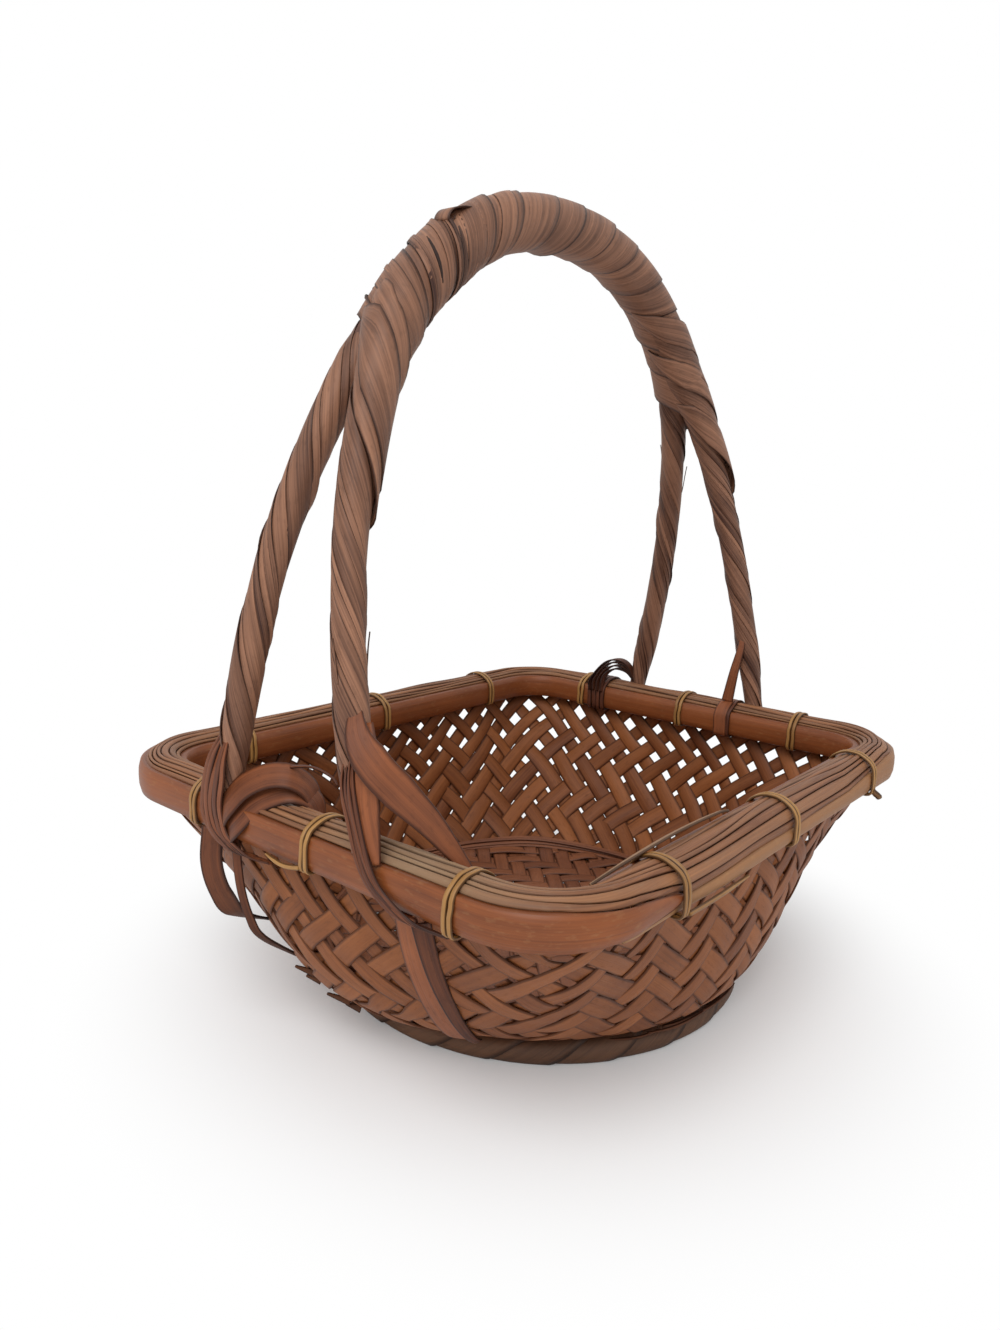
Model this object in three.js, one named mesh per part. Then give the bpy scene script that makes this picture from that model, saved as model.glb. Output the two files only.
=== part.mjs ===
import * as THREE from 'three';

// Ikebana basket of split bamboo. A round floor opens to a rounded-rectangle mouth.
// Two hoops and five splints make the rim.
// A double handle, wrapped with strips, is lashed to the rim at its four feet.
// Millimetres, +Z up. The handle spans X, left is -X and front is -Y.
// The origin is under the base ring's middle.

// Fits
const clearance = 0.3;
const stripThickness = 1;

// Rim
const rimLength = 300;
const rimWidth = 252;
const rimCornerRadius = 40;
const rimTop = 104;
const hoopHeight = 13.5;
const hoopThickness = 4.6;
const hoopEdge = 1;
const splintThickness = 1.6;
const splintCrown = 3.5;
const wallGrip = 9.5;

// Woven body
const wallThickness = 2.6;
const floorRadius = 91;
const sideBelly = 1.1;
const cornerBelly = 0.3;
const strandCount = 52;
const weaveRows = 12;
const openRows = 2;
const hollowRows = 4;
const gapShare = 0.28;
const hollowDepth = 0.9;

// Base ring and inner hoop
const baseRingOut = 1.5;
const baseCoreRadius = 3.3;
const baseWrapSlack = 0.8;
const baseStripThickness = 0.9;
const baseLoops = 24;
const baseStripCover = 0.88;
const baseFlatDepth = 0.5;
const innerHoopShare = 0.06;
const innerHoopThickness = 3.6;
const innerHoopSlack = 0.5;

// Handle
const footInset = 4;
const handleRise = 224;
const handleFullness = 2.25;
const footShare = 0.3;
const mergeRise = 165;
const mergeBlend = 12;
const legRadius = 5;
const footRadius = 3.4;
const footTaper = 25;
const archRadius = 9.7;
const rodGap = 0.5;
const wrapSlack = 0.3;
const legWrapThickness = 0.8;
const legWrapStart = 4;
const legWrapEnd = 157;
const legWrapLoops = 4;
const legWrapGap = 2;
const archWrapThickness = 0.9;
const archWrapReach = 124;
const archWrapLoops = 12;
const archWrapGap = 1.4;

// Rattan
const tieWidth = 2.2;
const tieThickness = 1.4;
const tieGap = 0.6;
const tieShare = 0.395;
const leftTieShare = -0.07;
const threadRadius = 0.9;
const threadLength = 17;
const frontThreadLength = 42;

// Strips at the feet
const lashWidth = 2.2;
const lashGap = 0.9;
const lashRise = 14;
const leftLashShare = 0.122;
const frontLashShare = 0.18;
const backLashShare = 0.66;
const rimStrapWidth = 8;
const rimStrapGap = 11;
const braceWidth = 7;
const tailWidth = 9;
const loopWidth = 10;
const hangingLoopWidth = 7;
const thinStripWidth = 3.5;

// How finely curves are cut into facets
const cornerSteps = 6;
const cornerCuts = 3;
const hoopSteps = 36;
const rodSteps = 40;
const rodSides = 10;
const turnSteps = 10;
const strandSides = 6;

// Sizes that follow from the ones above
const rimBottom = rimTop - hoopHeight;
const straightLength = rimLength - 2 * rimCornerRadius;
const straightWidth = rimWidth - 2 * rimCornerRadius;
const splintPitch = splintThickness + clearance;
const wallInset = hoopThickness + clearance + 2 * splintPitch;
const rimDepth = 2 * wallInset + wallThickness;
const wallTop = rimBottom + wallGrip;
const baseRingRadius = floorRadius + baseRingOut;
const baseWrapInner = baseCoreRadius + clearance + baseWrapSlack;
const baseWrapOuter = baseWrapInner + baseStripThickness;
const baseRingHeight = baseWrapOuter - baseFlatDepth;
const floorBottom = baseRingHeight + baseWrapOuter + clearance;
const footLevel = rimTop + splintCrown + clearance;
const handleSpan = rimLength - 2 * footInset;
const footOut = -footInset;
const footPlace = (footShare * rimWidth) / 2;
const leftLashLean = leftLashShare * straightWidth;
const frontLashLean = frontLashShare * straightWidth;
const backLashPlace = footPlace + backLashShare * (tieShare * straightWidth - footPlace);
const rimStrapPlace = rimStrapGap - footPlace;
const footFront = footOut + footRadius + 3 * clearance + wrapSlack + legWrapThickness;
const lashPitch = lashWidth + lashGap;
const tiePitch = tieWidth + tieGap;
const strandTurn = 6;
const up = new THREE.Vector3(0, 0, 1);
const across = new THREE.Vector3(0, 1, 0);

const colours = {
  weave: 0x8a5a40,
  hoop: 0xa0653c,
  splint: 0x7d6354,
  rod: 0x6f4a3a,
  wrap: 0x84604c,
  base: 0x53402f,
  rattan: 0xbe9650,
};

const basket = new THREE.Group();

function addPiece(name, geometry, colour, roughness = 0.6) {
  const material = new THREE.MeshStandardMaterial({ color: colour, roughness, metalness: 0 });
  const mesh = new THREE.Mesh(geometry, material);
  mesh.name = name;
  basket.add(mesh);
  return mesh;
}

function solidFrom(points, faces) {
  const geometry = new THREE.BufferGeometry().setFromPoints(points);
  geometry.setIndex(faces.flat());
  geometry.computeVertexNormals();
  return geometry;
}

// A closed skin over rings that all have the same count of points.
// It is capped at both ends, or runs round from the last ring to the first.
function skin(rings, isLoop = false) {
  const count = rings[0].length;
  const points = rings.flat();
  const faces = [];
  for (let i = 0; i < rings.length - (isLoop ? 0 : 1); i += 1) {
    const next = ((i + 1) % rings.length) * count;
    for (let j = 0; j < count; j += 1) {
      const k = (j + 1) % count;
      faces.push([i * count + j, i * count + k, next + k], [i * count + j, next + k, next + j]);
    }
  }
  const last = (rings.length - 1) * count;
  for (let j = 1; j + 1 < count && !isLoop; j += 1) {
    faces.push([0, j + 1, j], [last, last + j, last + j + 1]);
  }
  const volume = faces.reduce((sum, [a, b, c]) => {
    const normal = new THREE.Vector3().crossVectors(points[b], points[c]);
    return sum + points[a].dot(normal);
  }, 0);
  return solidFrom(points, volume < 0 ? faces.map(([a, b, c]) => [a, c, b]) : faces);
}

// The least distance between points of a winding that lie at least half a turn apart along it.
function reportGap(name, rings, apart) {
  let least = Infinity;
  for (let i = 0; i < rings.length; i += 1) {
    for (let j = i + apart; j < rings.length; j += 1) {
      for (const p of rings[i]) {
        for (const q of rings[j]) {
          least = Math.min(least, p.distanceTo(q));
        }
      }
    }
  }
  console.log(`${name}: least gap to itself ${least.toFixed(2)} mm`);
}

// Rings of a profile carried along a path.
// Each stop has a point and the direction away from what it lies on.
function sweepRings(path, profile) {
  return path.map(({ point, normal }, i) => {
    const before = path[Math.max(i - 1, 0)].point;
    const after = path[Math.min(i + 1, path.length - 1)].point;
    const tangent = new THREE.Vector3().subVectors(after, before).normalize();
    const sideways = new THREE.Vector3().crossVectors(normal, tangent).normalize();
    const lifted = new THREE.Vector3().crossVectors(tangent, sideways).normalize();
    return profile.map(([s, h]) => point.clone().addScaledVector(sideways, s).addScaledVector(lifted, h));
  });
}

function stripProfile(width, thickness = stripThickness) {
  return [[-width / 2, 0], [width / 2, 0], [width / 2, thickness], [-width / 2, thickness]];
}

function strandProfile(radius) {
  return Array.from({ length: strandSides }, (_, i) => {
    const angle = (2 * Math.PI * i) / strandSides;
    return [radius * Math.cos(angle), radius * Math.sin(angle)];
  });
}

// Stops along a smooth curve through the points, with the strip's width lying along `wide`.
function pathThrough(points, wide, steps) {
  const curve = new THREE.CatmullRomCurve3(points, false, 'centripetal');
  return Array.from({ length: steps + 1 }, (_, i) => {
    const tangent = curve.getTangentAt(i / steps);
    const normal = new THREE.Vector3().crossVectors(tangent, wide).normalize();
    return { point: curve.getPointAt(i / steps), normal };
  });
}

// The rim's outline, inset from its outer face: an arc at each corner, joined by straight sides.
function outlinePoints(inset) {
  const radius = rimCornerRadius - inset;
  const x = straightLength / 2;
  const y = straightWidth / 2;
  const corners = [[x, y], [-x, y], [-x, -y], [x, -y]];
  return corners.flatMap(([cx, cy], k) =>
    Array.from({ length: cornerSteps + 1 }, (_, i) => {
      const angle = (Math.PI / 2) * (k + i / cornerSteps);
      return new THREE.Vector2(cx + radius * Math.cos(angle), cy + radius * Math.sin(angle));
    }));
}

// A hoop that fills the rim between two insets, from one height to another.
function hoop(from, to, bottom, top, edge = 0) {
  const shape = new THREE.Shape(outlinePoints(from));
  shape.holes.push(new THREE.Path(outlinePoints(to)));
  const geometry = new THREE.ExtrudeGeometry(shape, {
    depth: top - bottom - 2 * edge,
    bevelEnabled: edge > 0,
    bevelThickness: edge,
    bevelSize: edge,
    bevelOffset: -edge,
    bevelSegments: 1,
  });
  return geometry.translate(0, 0, bottom + edge);
}

// Distance from the axis to the rim's outline, inset, in one direction.
function outlineReach(angle, inset) {
  const x = straightLength / 2;
  const y = straightWidth / 2;
  const radius = rimCornerRadius - inset;
  const c = Math.abs(Math.cos(angle));
  const s = Math.abs(Math.sin(angle));
  if (s * (x + radius) <= c * y) {
    return (x + radius) / c;
  }
  if (c * (y + radius) <= s * x) {
    return (y + radius) / s;
  }
  const middle = c * x + s * y;
  return middle + Math.sqrt(middle * middle - x * x - y * y + radius * radius);
}

// How far the wall bellies out on its way up: a quarter of an ellipse on the sides,
// nearly straight at the corners.
function bellyAt(angle) {
  const c = Math.abs(Math.cos(angle)) * rimWidth;
  const s = Math.abs(Math.sin(angle)) * rimLength;
  const corner = (2 * c * s) / (c * c + s * s);
  return THREE.MathUtils.lerp(sideBelly, cornerBelly, corner * corner);
}

// A point of the wall, which leaves the floor level.
function wallPoint(angle, rise, depth) {
  const spread = outlineReach(angle, wallInset + depth) - floorRadius;
  const climbed = 1 - Math.cos(rise);
  const reach = floorRadius + spread * THREE.MathUtils.lerp(climbed, Math.sin(rise), bellyAt(angle));
  const height = floorBottom + depth + (rimBottom - floorBottom - depth) * climbed;
  return new THREE.Vector3(reach * Math.cos(angle), reach * Math.sin(angle), height);
}

// The line up the wall in one direction.
class WallLine extends THREE.Curve {
  constructor(angle, depth) {
    super();
    this.angle = angle;
    this.depth = depth;
  }

  getPoint(share) {
    return wallPoint(this.angle, (share * Math.PI) / 2, this.depth);
  }
}

// The wall's outline at the rim, from the middle of the right side round by the back.
function wallOutline() {
  const x = straightLength / 2;
  const y = straightWidth / 2;
  const radius = rimCornerRadius - wallInset;
  const path = new THREE.Path().moveTo(x + radius, 0).lineTo(x + radius, y);
  [[x, y], [-x, y], [-x, -y], [x, -y]].forEach(([cx, cy], k) => {
    path.absarc(cx, cy, radius, (k * Math.PI) / 2, ((k + 1) * Math.PI) / 2);
  });
  return path.lineTo(x + radius, 0);
}

// A point of the weave, by its row up the wall and its place among the strips round it.
// The places are evenly spread in angle at the floor and in length at the rim.
const outline = wallOutline();
function weavePoint(row, place, depth) {
  const share = (place / strandCount) % 1;
  const climbed = row / weaveRows;
  const angle = THREE.MathUtils.lerp(2 * Math.PI * share, outline.getPoint(share).angle(), climbed);
  return new WallLine(angle, depth).getPointAt(climbed);
}

// Woven body: strips climb to either side and cross in rows, with a diamond between each four crossings.
// Rows of diamonds are hollowed on the outside, and the rows above those are open right through.
function wovenBody() {
  const points = [];
  const faces = [];
  const gaps = [[], []];
  const aroundGap = [[-0.5, 0], [0, -1], [0.5, 0], [0, 1]];
  const firstOpen = weaveRows - 1 - openRows;
  const addPoint = (point) => points.push(point) - 1;
  const isCurved = (k) => {
    const [from, middle, to] = [k, k + 0.5, k + 1].map((at) => outline.getPoint((at / strandCount) % 1));
    return from.lerp(to, 0.5).distanceTo(middle) > clearance / 2;
  };
  const addPatch = (corners, isInner = 0) => {
    for (let i = 1; i + 1 < corners.length; i += 1) {
      const pair = [corners[i], corners[i + 1]];
      faces.push([corners[0], ...(isInner ? pair.reverse() : pair)]);
    }
  };
  const skins = [0, wallThickness].map((depth) => {
    const rows = Array.from({ length: weaveRows }, (_, row) =>
      Array.from({ length: strandCount }, (__, k) => addPoint(weavePoint(row, k + (row % 2) / 2, depth))));
    const top = Array.from({ length: strandCount }, (_, k) => {
      const cuts = isCurved(k) ? cornerCuts : 1;
      return Array.from({ length: cuts }, (__, i) => addPoint(weavePoint(weaveRows, k + i / cuts, depth)));
    });
    const edge = top.flat().map((index) => addPoint(points[index].clone().setZ(wallTop)));
    return { depth, rows: [...rows, top.map(([first]) => first)], top, edge };
  });

  const addDiamond = ({ depth, rows }, isInner, row, k) => {
    const between = (k + (row % 2)) % strandCount;
    const middle = k + 0.5 + (row % 2) / 2;
    const right = rows[row][(k + 1) % strandCount];
    const corners = [rows[row][k], rows[row - 1][between], right, rows[row + 1][between]];
    const edges = corners.map((corner, i) => [corner, corners[(i + 1) % corners.length]]);
    if (row >= firstOpen && row < firstOpen + openRows) {
      const gap = aroundGap.map(([aside, above]) =>
        addPoint(weavePoint(row + gapShare * above, middle + gapShare * aside, depth)));
      edges.forEach((pair, i) => addPatch([...pair, gap[(i + 1) % gap.length], gap[i]], isInner));
      gaps[isInner].push(gap);
    } else if (!isInner && row < firstOpen && row >= firstOpen - hollowRows) {
      const hollow = addPoint(weavePoint(row, middle, hollowDepth));
      edges.forEach((pair) => addPatch([...pair, hollow]));
    } else {
      addPatch(corners, isInner);
    }
  };
  const addBand = (from, to, isInner) => {
    from.forEach((corner, i) => {
      const next = (i + 1) % from.length;
      addPatch([corner, from[next], to[next], to[i]], isInner);
    });
  };
  skins.forEach((side, isInner) => {
    const { rows, top, edge } = side;
    addPatch([...rows[0]].reverse(), isInner);
    for (let k = 0; k < strandCount; k += 1) {
      const beside = (k + 1) % strandCount;
      addPatch([rows[0][k], rows[0][beside], rows[1][k]], isInner);
      for (let row = 1; row < weaveRows; row += 1) {
        addDiamond(side, isInner, row, k);
      }
      addPatch([rows[weaveRows - 1][k], top[beside][0], ...[...top[k]].reverse()], isInner);
    }
    addBand(top.flat(), edge, isInner);
  });
  addBand(skins[0].edge, skins[1].edge);
  gaps[0].forEach((gap, i) => addBand(gap, gaps[1][i]));
  return solidFrom(points, faces);
}

addPiece('woven_body', wovenBody(), colours.weave, 0.55);

// Base ring: a round core with one strip wound slantwise about it, flat underneath.
const baseCore = new THREE.TorusGeometry(baseRingRadius, baseCoreRadius, 6, 40);
addPiece('base_ring_core', baseCore.translate(0, 0, baseRingHeight), colours.rod);

function baseWindingRings() {
  const flatHalf = Math.acos(baseRingHeight / baseWrapOuter);
  const step = (2 * Math.PI - 2 * flatHalf) / (turnSteps - 1);
  const pitch = (2 * Math.PI) / baseLoops;
  const half = (baseStripCover * pitch) / 2;
  const at = (turn, bearing, radius) => {
    const reach = baseRingRadius + radius * Math.cos(turn);
    const height = baseRingHeight + radius * Math.sin(turn);
    return new THREE.Vector3(reach * Math.cos(bearing), reach * Math.sin(bearing), height);
  };
  const rings = [];
  for (let loop = 0; loop < baseLoops; loop += 1) {
    for (let k = 0; k < turnSteps; k += 1) {
      const advance = flatHalf + k * step;
      const turn = advance - Math.PI / 2;
      const bearing = pitch * (loop + advance / (2 * Math.PI));
      rings.push([
        at(turn, bearing - half, baseWrapInner),
        at(turn, bearing + half, baseWrapInner),
        at(turn, bearing + half, baseWrapOuter),
        at(turn, bearing - half, baseWrapOuter),
      ]);
    }
  }
  return rings;
}

const baseRings = baseWindingRings();
reportGap('base_ring_winding', baseRings, turnSteps / 2);
addPiece('base_ring_winding', skin(baseRings), colours.base, 0.7);

// Inner hoop, lying on the wall just above the floor.
function innerHoopRings() {
  const radius = innerHoopThickness / 2;
  const lift = wallThickness + clearance + innerHoopSlack + radius;
  return Array.from({ length: hoopSteps }, (_, i) => {
    const centre = new WallLine((2 * Math.PI * i) / hoopSteps, lift).getPointAt(innerHoopShare);
    const outward = centre.clone().setZ(0).normalize();
    return strandProfile(radius).map(([s, h]) =>
      centre.clone().addScaledVector(outward, s).addScaledVector(up, h));
  });
}

addPiece('inner_base_hoop', skin(innerHoopRings(), true), colours.splint);

// Rim hoops and the splints between them. The middle splint sits on the wall's edge.
const outerHoop = hoop(0, hoopThickness, rimBottom, rimTop, hoopEdge);
const innerRimHoop = hoop(rimDepth - hoopThickness, rimDepth, rimBottom, rimTop, hoopEdge);
addPiece('outer_rim_hoop', outerHoop, colours.hoop, 0.45);
addPiece('inner_rim_hoop', innerRimHoop, colours.hoop, 0.45);

function crownAt(inset) {
  const off = (2 * inset) / rimDepth - 1;
  return splintCrown * (1 - off * off);
}

const outerSplint = hoopThickness + clearance;
const splints = [
  [outerSplint, splintThickness, rimBottom],
  [outerSplint + splintPitch, splintThickness, rimBottom],
  [wallInset, wallThickness, wallTop + clearance],
  [rimDepth - outerSplint - splintPitch - splintThickness, splintThickness, rimBottom],
  [rimDepth - outerSplint - splintThickness, splintThickness, rimBottom],
];
splints.forEach(([from, thickness, bottom], i) => {
  const top = rimTop + crownAt(from + thickness / 2);
  addPiece(`rim_splint_${i + 1}`, hoop(from, from + thickness, bottom, top), colours.splint, 0.65);
});

// The rim's four sides, each with its outward direction and the direction along it.
const sides = {
  left: { outward: new THREE.Vector3(-1, 0, 0), along: new THREE.Vector3(0, 1, 0), reach: rimLength / 2 },
  right: { outward: new THREE.Vector3(1, 0, 0), along: new THREE.Vector3(0, 1, 0), reach: rimLength / 2 },
  front: { outward: new THREE.Vector3(0, -1, 0), along: new THREE.Vector3(1, 0, 0), reach: rimWidth / 2 },
  back: { outward: new THREE.Vector3(0, 1, 0), along: new THREE.Vector3(1, 0, 0), reach: rimWidth / 2 },
};

// A point by a side of the rim: its place along the side, its distance out from the rim's outer face
// and its height.
function sidePoint(side, along, out, height) {
  return new THREE.Vector3()
    .addScaledVector(side.outward, side.reach + out)
    .addScaledVector(side.along, along)
    .addScaledVector(up, height);
}

// Stops round the rim's section, `lift` clear of it, from under the inner hoop over the crown
// to under the outer one. The end stops leave `room` before the wall.
function rimSection(lift, room) {
  const edge = hoopEdge / 2;
  const outer = [
    [-wallInset, rimTop + splintCrown + lift],
    [-hoopThickness, rimTop + crownAt(hoopThickness + splintPitch) + lift],
    [-edge, rimTop + edge + lift],
    [lift, rimTop - edge],
    [lift, rimBottom + edge],
    [-edge, rimBottom - lift],
    [-wallInset + 2 * clearance + room, rimBottom - lift],
  ];
  const inner = outer.map(([out, height]) => [-rimDepth - out, height]).reverse();
  return [...inner, ...outer];
}

// Stops from the outside of a foot down over the outer hoop and under it.
function footSection(lift) {
  const edge = hoopEdge / 2;
  return [
    [footFront + 2 * lift, footLevel + lashRise],
    [footFront + lift, footLevel + lashRise / 2],
    [footFront, footLevel],
    [lift + edge, rimTop],
    [lift, rimTop - 2 * hoopEdge],
    [lift, (rimTop + rimBottom) / 2],
    [lift, rimBottom + edge],
    [-edge, rimBottom - lift],
    [-hoopThickness, rimBottom - lift],
  ];
}

// A strip laid to and fro along a section's stops, each pass beside the last.
// `placeAt` gives its place along the side by how far down the section it has come.
function toAndFro(side, section, passes, pitch, placeAt) {
  const stops = section.map(([out, height]) => new THREE.Vector2(out, height));
  const tangents = stops.map((_, i) => {
    const before = stops[Math.max(i - 1, 0)];
    const after = stops[Math.min(i + 1, stops.length - 1)];
    return after.clone().sub(before).normalize();
  });
  const lengths = [0];
  for (let i = 1; i < stops.length; i += 1) {
    lengths.push(lengths[i - 1] + stops[i].distanceTo(stops[i - 1]));
  }
  const last = stops.length - 1;
  const path = [];
  const addStop = (i, shift, beyond) => {
    const spot = stops[i].clone().addScaledVector(tangents[i], i === 0 ? -beyond : beyond);
    const normal = new THREE.Vector3()
      .addScaledVector(side.outward, -tangents[i].y)
      .addScaledVector(up, tangents[i].x);
    const along = placeAt(lengths[i] / lengths[last]) + shift;
    path.push({ point: sidePoint(side, along, spot.x, spot.y), normal });
  };
  for (let pass = 0; pass < passes; pass += 1) {
    const shift = (pass - (passes - 1) / 2) * pitch;
    for (let k = 0; k <= last; k += 1) {
      addStop(pass % 2 === 0 ? k : last - k, shift, 0);
    }
    if (pass + 1 < passes) {
      for (const turn of [Math.PI / 4, Math.PI / 2, 0.75 * Math.PI]) {
        const aside = (pitch / 2) * (1 - Math.cos(turn));
        addStop(pass % 2 === 0 ? last : 0, shift + aside, (pitch / 2) * Math.sin(turn));
      }
    }
  }
  return path;
}

function addStrand(name, path, profile, colour) {
  const rings = sweepRings(path, profile);
  reportGap(name, rings, strandTurn);
  addPiece(name, skin(rings), colour);
}

// Rattan ties, three to a side, each a doubled strand over the rim.
const tieSection = rimSection(clearance, (tiePitch + tieWidth) / 2);
const tiePlaces = {
  left: [-1, 0, 1].map((k) => (k * tieShare + leftTieShare) * straightWidth),
  right: [-1, 0, 1].map((k) => k * tieShare * straightWidth),
  front: [-1, 0, 1].map((k) => k * tieShare * straightLength),
  back: [-1, 0, 1].map((k) => k * tieShare * straightLength),
};
for (const [name, places] of Object.entries(tiePlaces)) {
  places.forEach((place, i) => {
    const path = toAndFro(sides[name], tieSection, 2, tiePitch, () => place);
    addStrand(`rim_tie_${name}_${i + 1}`, path, stripProfile(tieWidth, tieThickness), colours.rattan);
  });
}

// Rattan threads along the lower edge of the outer hoop, each starting beside a tie.
function addThread(name, side, tie, length) {
  const start = tie + (tiePitch + tieWidth) / 2 + clearance;
  const lift = threadRadius + clearance;
  const height = rimBottom + hoopEdge + lift;
  const points = [0, 0.5, 1].map((t) => sidePoint(side, start + t * length, lift, height));
  const path = pathThrough(points, up, 6);
  addPiece(name, skin(sweepRings(path, strandProfile(threadRadius))), colours.rattan);
}

addThread('rim_thread_left', sides.left, tiePlaces.left[1], threadLength);
addThread('rim_thread_front', sides.front, tiePlaces.front[0], frontThreadLength);

// Handle: its middle line is half of a full oval standing on the rim.
const handleLine = new THREE.CatmullRomCurve3(Array.from({ length: 49 }, (_, i) => {
  const turn = Math.PI * (i / 48 - 0.5);
  const power = 2 / handleFullness;
  const x = (handleSpan / 2) * Math.sign(turn) * Math.abs(Math.sin(turn)) ** power;
  return new THREE.Vector3(x, 0, footLevel + handleRise * Math.max(Math.cos(turn), 0) ** power);
}), false, 'centripetal');
handleLine.arcLengthDivisions = 800;
const handleLength = handleLine.getLength();

// A stop along the handle: its middle, the direction away from the arch's inside
// and its height over the feet.
function handleStop(length) {
  const share = THREE.MathUtils.clamp(length / handleLength, 0, 1);
  const middle = handleLine.getPointAt(share);
  const tangent = handleLine.getTangentAt(share);
  const outside = new THREE.Vector3().crossVectors(tangent, across).normalize().negate();
  return { middle, outside, rise: middle.z - footLevel };
}

// Half the spread of the two rods at a height over the feet.
// They lean together and lie side by side in the arch.
function rodSpread(rise) {
  const beside = archRadius / 2 + rodGap / 2;
  const apart = Math.max(1 - rise / mergeRise, 0);
  return beside + (footPlace - beside) * apart;
}

function legRadiusAt(rise) {
  return footRadius + (legRadius - footRadius) * Math.min(rise / footTaper, 1);
}

// One rod: round in the legs and half round in the arch, where it lies flat against its fellow.
function rodRings(hand) {
  return Array.from({ length: rodSteps + 1 }, (_, i) => {
    const { middle, outside, rise } = handleStop((handleLength * i) / rodSteps);
    const joined = THREE.MathUtils.smoothstep(rise, mergeRise - mergeBlend, mergeRise + mergeBlend);
    const radius = legRadiusAt(rise);
    return Array.from({ length: rodSides }, (_, k) => {
      const turn = (2 * Math.PI * k) / rodSides;
      const alone = rodSpread(rise) + radius * Math.cos(turn);
      const paired = rodGap / 2 + (archRadius - rodGap / 2) * Math.max(Math.cos(turn), 0);
      const sideways = THREE.MathUtils.lerp(alone, paired, joined);
      const height = THREE.MathUtils.lerp(radius, archRadius, joined) * Math.sin(turn);
      return middle.clone().addScaledVector(across, hand * sideways).addScaledVector(outside, height);
    });
  });
}

addPiece('handle_rod_front', skin(rodRings(-1)), colours.rod);
addPiece('handle_rod_back', skin(rodRings(1)), colours.rod);

// A strip wound along the handle from one length to another, `rows` points across its width.
function windingRings({ from, to, loops, gap, thickness, rows, twist, centreAt, radiusAt }) {
  const pitch = (to - from) / loops;
  const width = pitch - gap;
  const steps = Math.round((loops - 1) * turnSteps);
  const fill = 1 / Math.cos(Math.PI / turnSteps);
  return Array.from({ length: steps + 1 }, (_, i) => {
    const turn = twist * ((2 * Math.PI * i) / turnSteps);
    const place = from + pitch * (0.5 + i / turnSteps);
    const at = (row, lift) => {
      const stop = handleStop(place + width * (row / (rows - 1) - 0.5));
      const radius = (radiusAt(stop.rise) + clearance + wrapSlack) * fill + lift;
      return stop.middle.clone()
        .addScaledVector(across, centreAt(stop.rise) + radius * Math.cos(turn))
        .addScaledVector(stop.outside, radius * Math.sin(turn));
    };
    const inner = Array.from({ length: rows }, (_, row) => at(row, 0));
    const outer = Array.from({ length: rows }, (_, row) => at(rows - 1 - row, thickness));
    return [...inner, ...outer];
  });
}

function addWinding(name, options) {
  const rings = windingRings(options);
  reportGap(name, rings, turnSteps / 2);
  addPiece(name, skin(rings), colours.wrap);
}

for (const [hand, hands] of [[-1, 'front'], [1, 'back']]) {
  for (const end of ['left', 'right']) {
    addWinding(`leg_wrap_${end}_${hands}`, {
      from: end === 'left' ? legWrapStart : handleLength - legWrapEnd,
      to: end === 'left' ? legWrapEnd : handleLength - legWrapStart,
      loops: legWrapLoops,
      gap: legWrapGap,
      thickness: legWrapThickness,
      rows: 3,
      twist: 1,
      centreAt: (rise) => hand * rodSpread(rise),
      radiusAt: legRadiusAt,
    });
  }
}

addWinding('arch_wrap', {
  from: handleLength / 2 - archWrapReach,
  to: handleLength / 2 + archWrapReach,
  loops: archWrapLoops,
  gap: archWrapGap,
  thickness: archWrapThickness,
  rows: 3,
  twist: -1,
  centreAt: () => 0,
  radiusAt: () => archRadius,
});

// Lashings: narrow strips that hold the feet to the rim.
// The left ones lean as they cross the outer hoop.
function addLashing(name, side, section, passes, placeAt) {
  const path = toAndFro(side, section, passes, lashPitch, placeAt);
  addStrand(name, path, stripProfile(lashWidth), colours.wrap);
}

const overFoot = footSection(clearance);
addLashing('foot_lashing_left_back', sides.left, overFoot, 4, (t) => footPlace - leftLashLean * t);
addLashing('foot_lashing_left_front', sides.left, overFoot, 3, (t) => -footPlace - frontLashLean * t);
const lashSection = rimSection(clearance, (lashPitch + lashWidth) / 2);
addLashing('foot_lashing_right_back', sides.right, lashSection, 3, () => backLashPlace);
const rimStrap = toAndFro(sides.right, lashSection, 1, lashPitch, () => rimStrapPlace);
addPiece('foot_lashing_right_front', skin(sweepRings(rimStrap, stripProfile(rimStrapWidth))), colours.wrap);

// Single strips, each along a few points by a side of the rim.
function addStrip(name, points, wide, width, steps = 14) {
  addPiece(name, skin(sweepRings(pathThrough(points, wide, steps), stripProfile(width))), colours.wrap);
}

const left = (along, out, height) => sidePoint(sides.left, along, out, height);
const right = (along, out, height) => sidePoint(sides.right, along, out, height);
const inside = -rimDepth - clearance;
const legInside = footOut - legRadius - legWrapThickness - wrapSlack - 4 * clearance;

// Brace from the left front foot, slanting down inside the rim.
addStrip('brace_left_front', [
  left(-footPlace + clearance, legInside, footLevel + 2.6 * braceWidth),
  left(-footPlace - 0.32 * frontLashLean, legInside - 0.7 * braceWidth, footLevel + braceWidth),
  left(-footPlace - 0.8 * frontLashLean, inside, rimTop),
  left(-footPlace - 1.02 * frontLashLean, inside, rimBottom + braceWidth / 2),
], sides.left.along, braceWidth);

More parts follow.
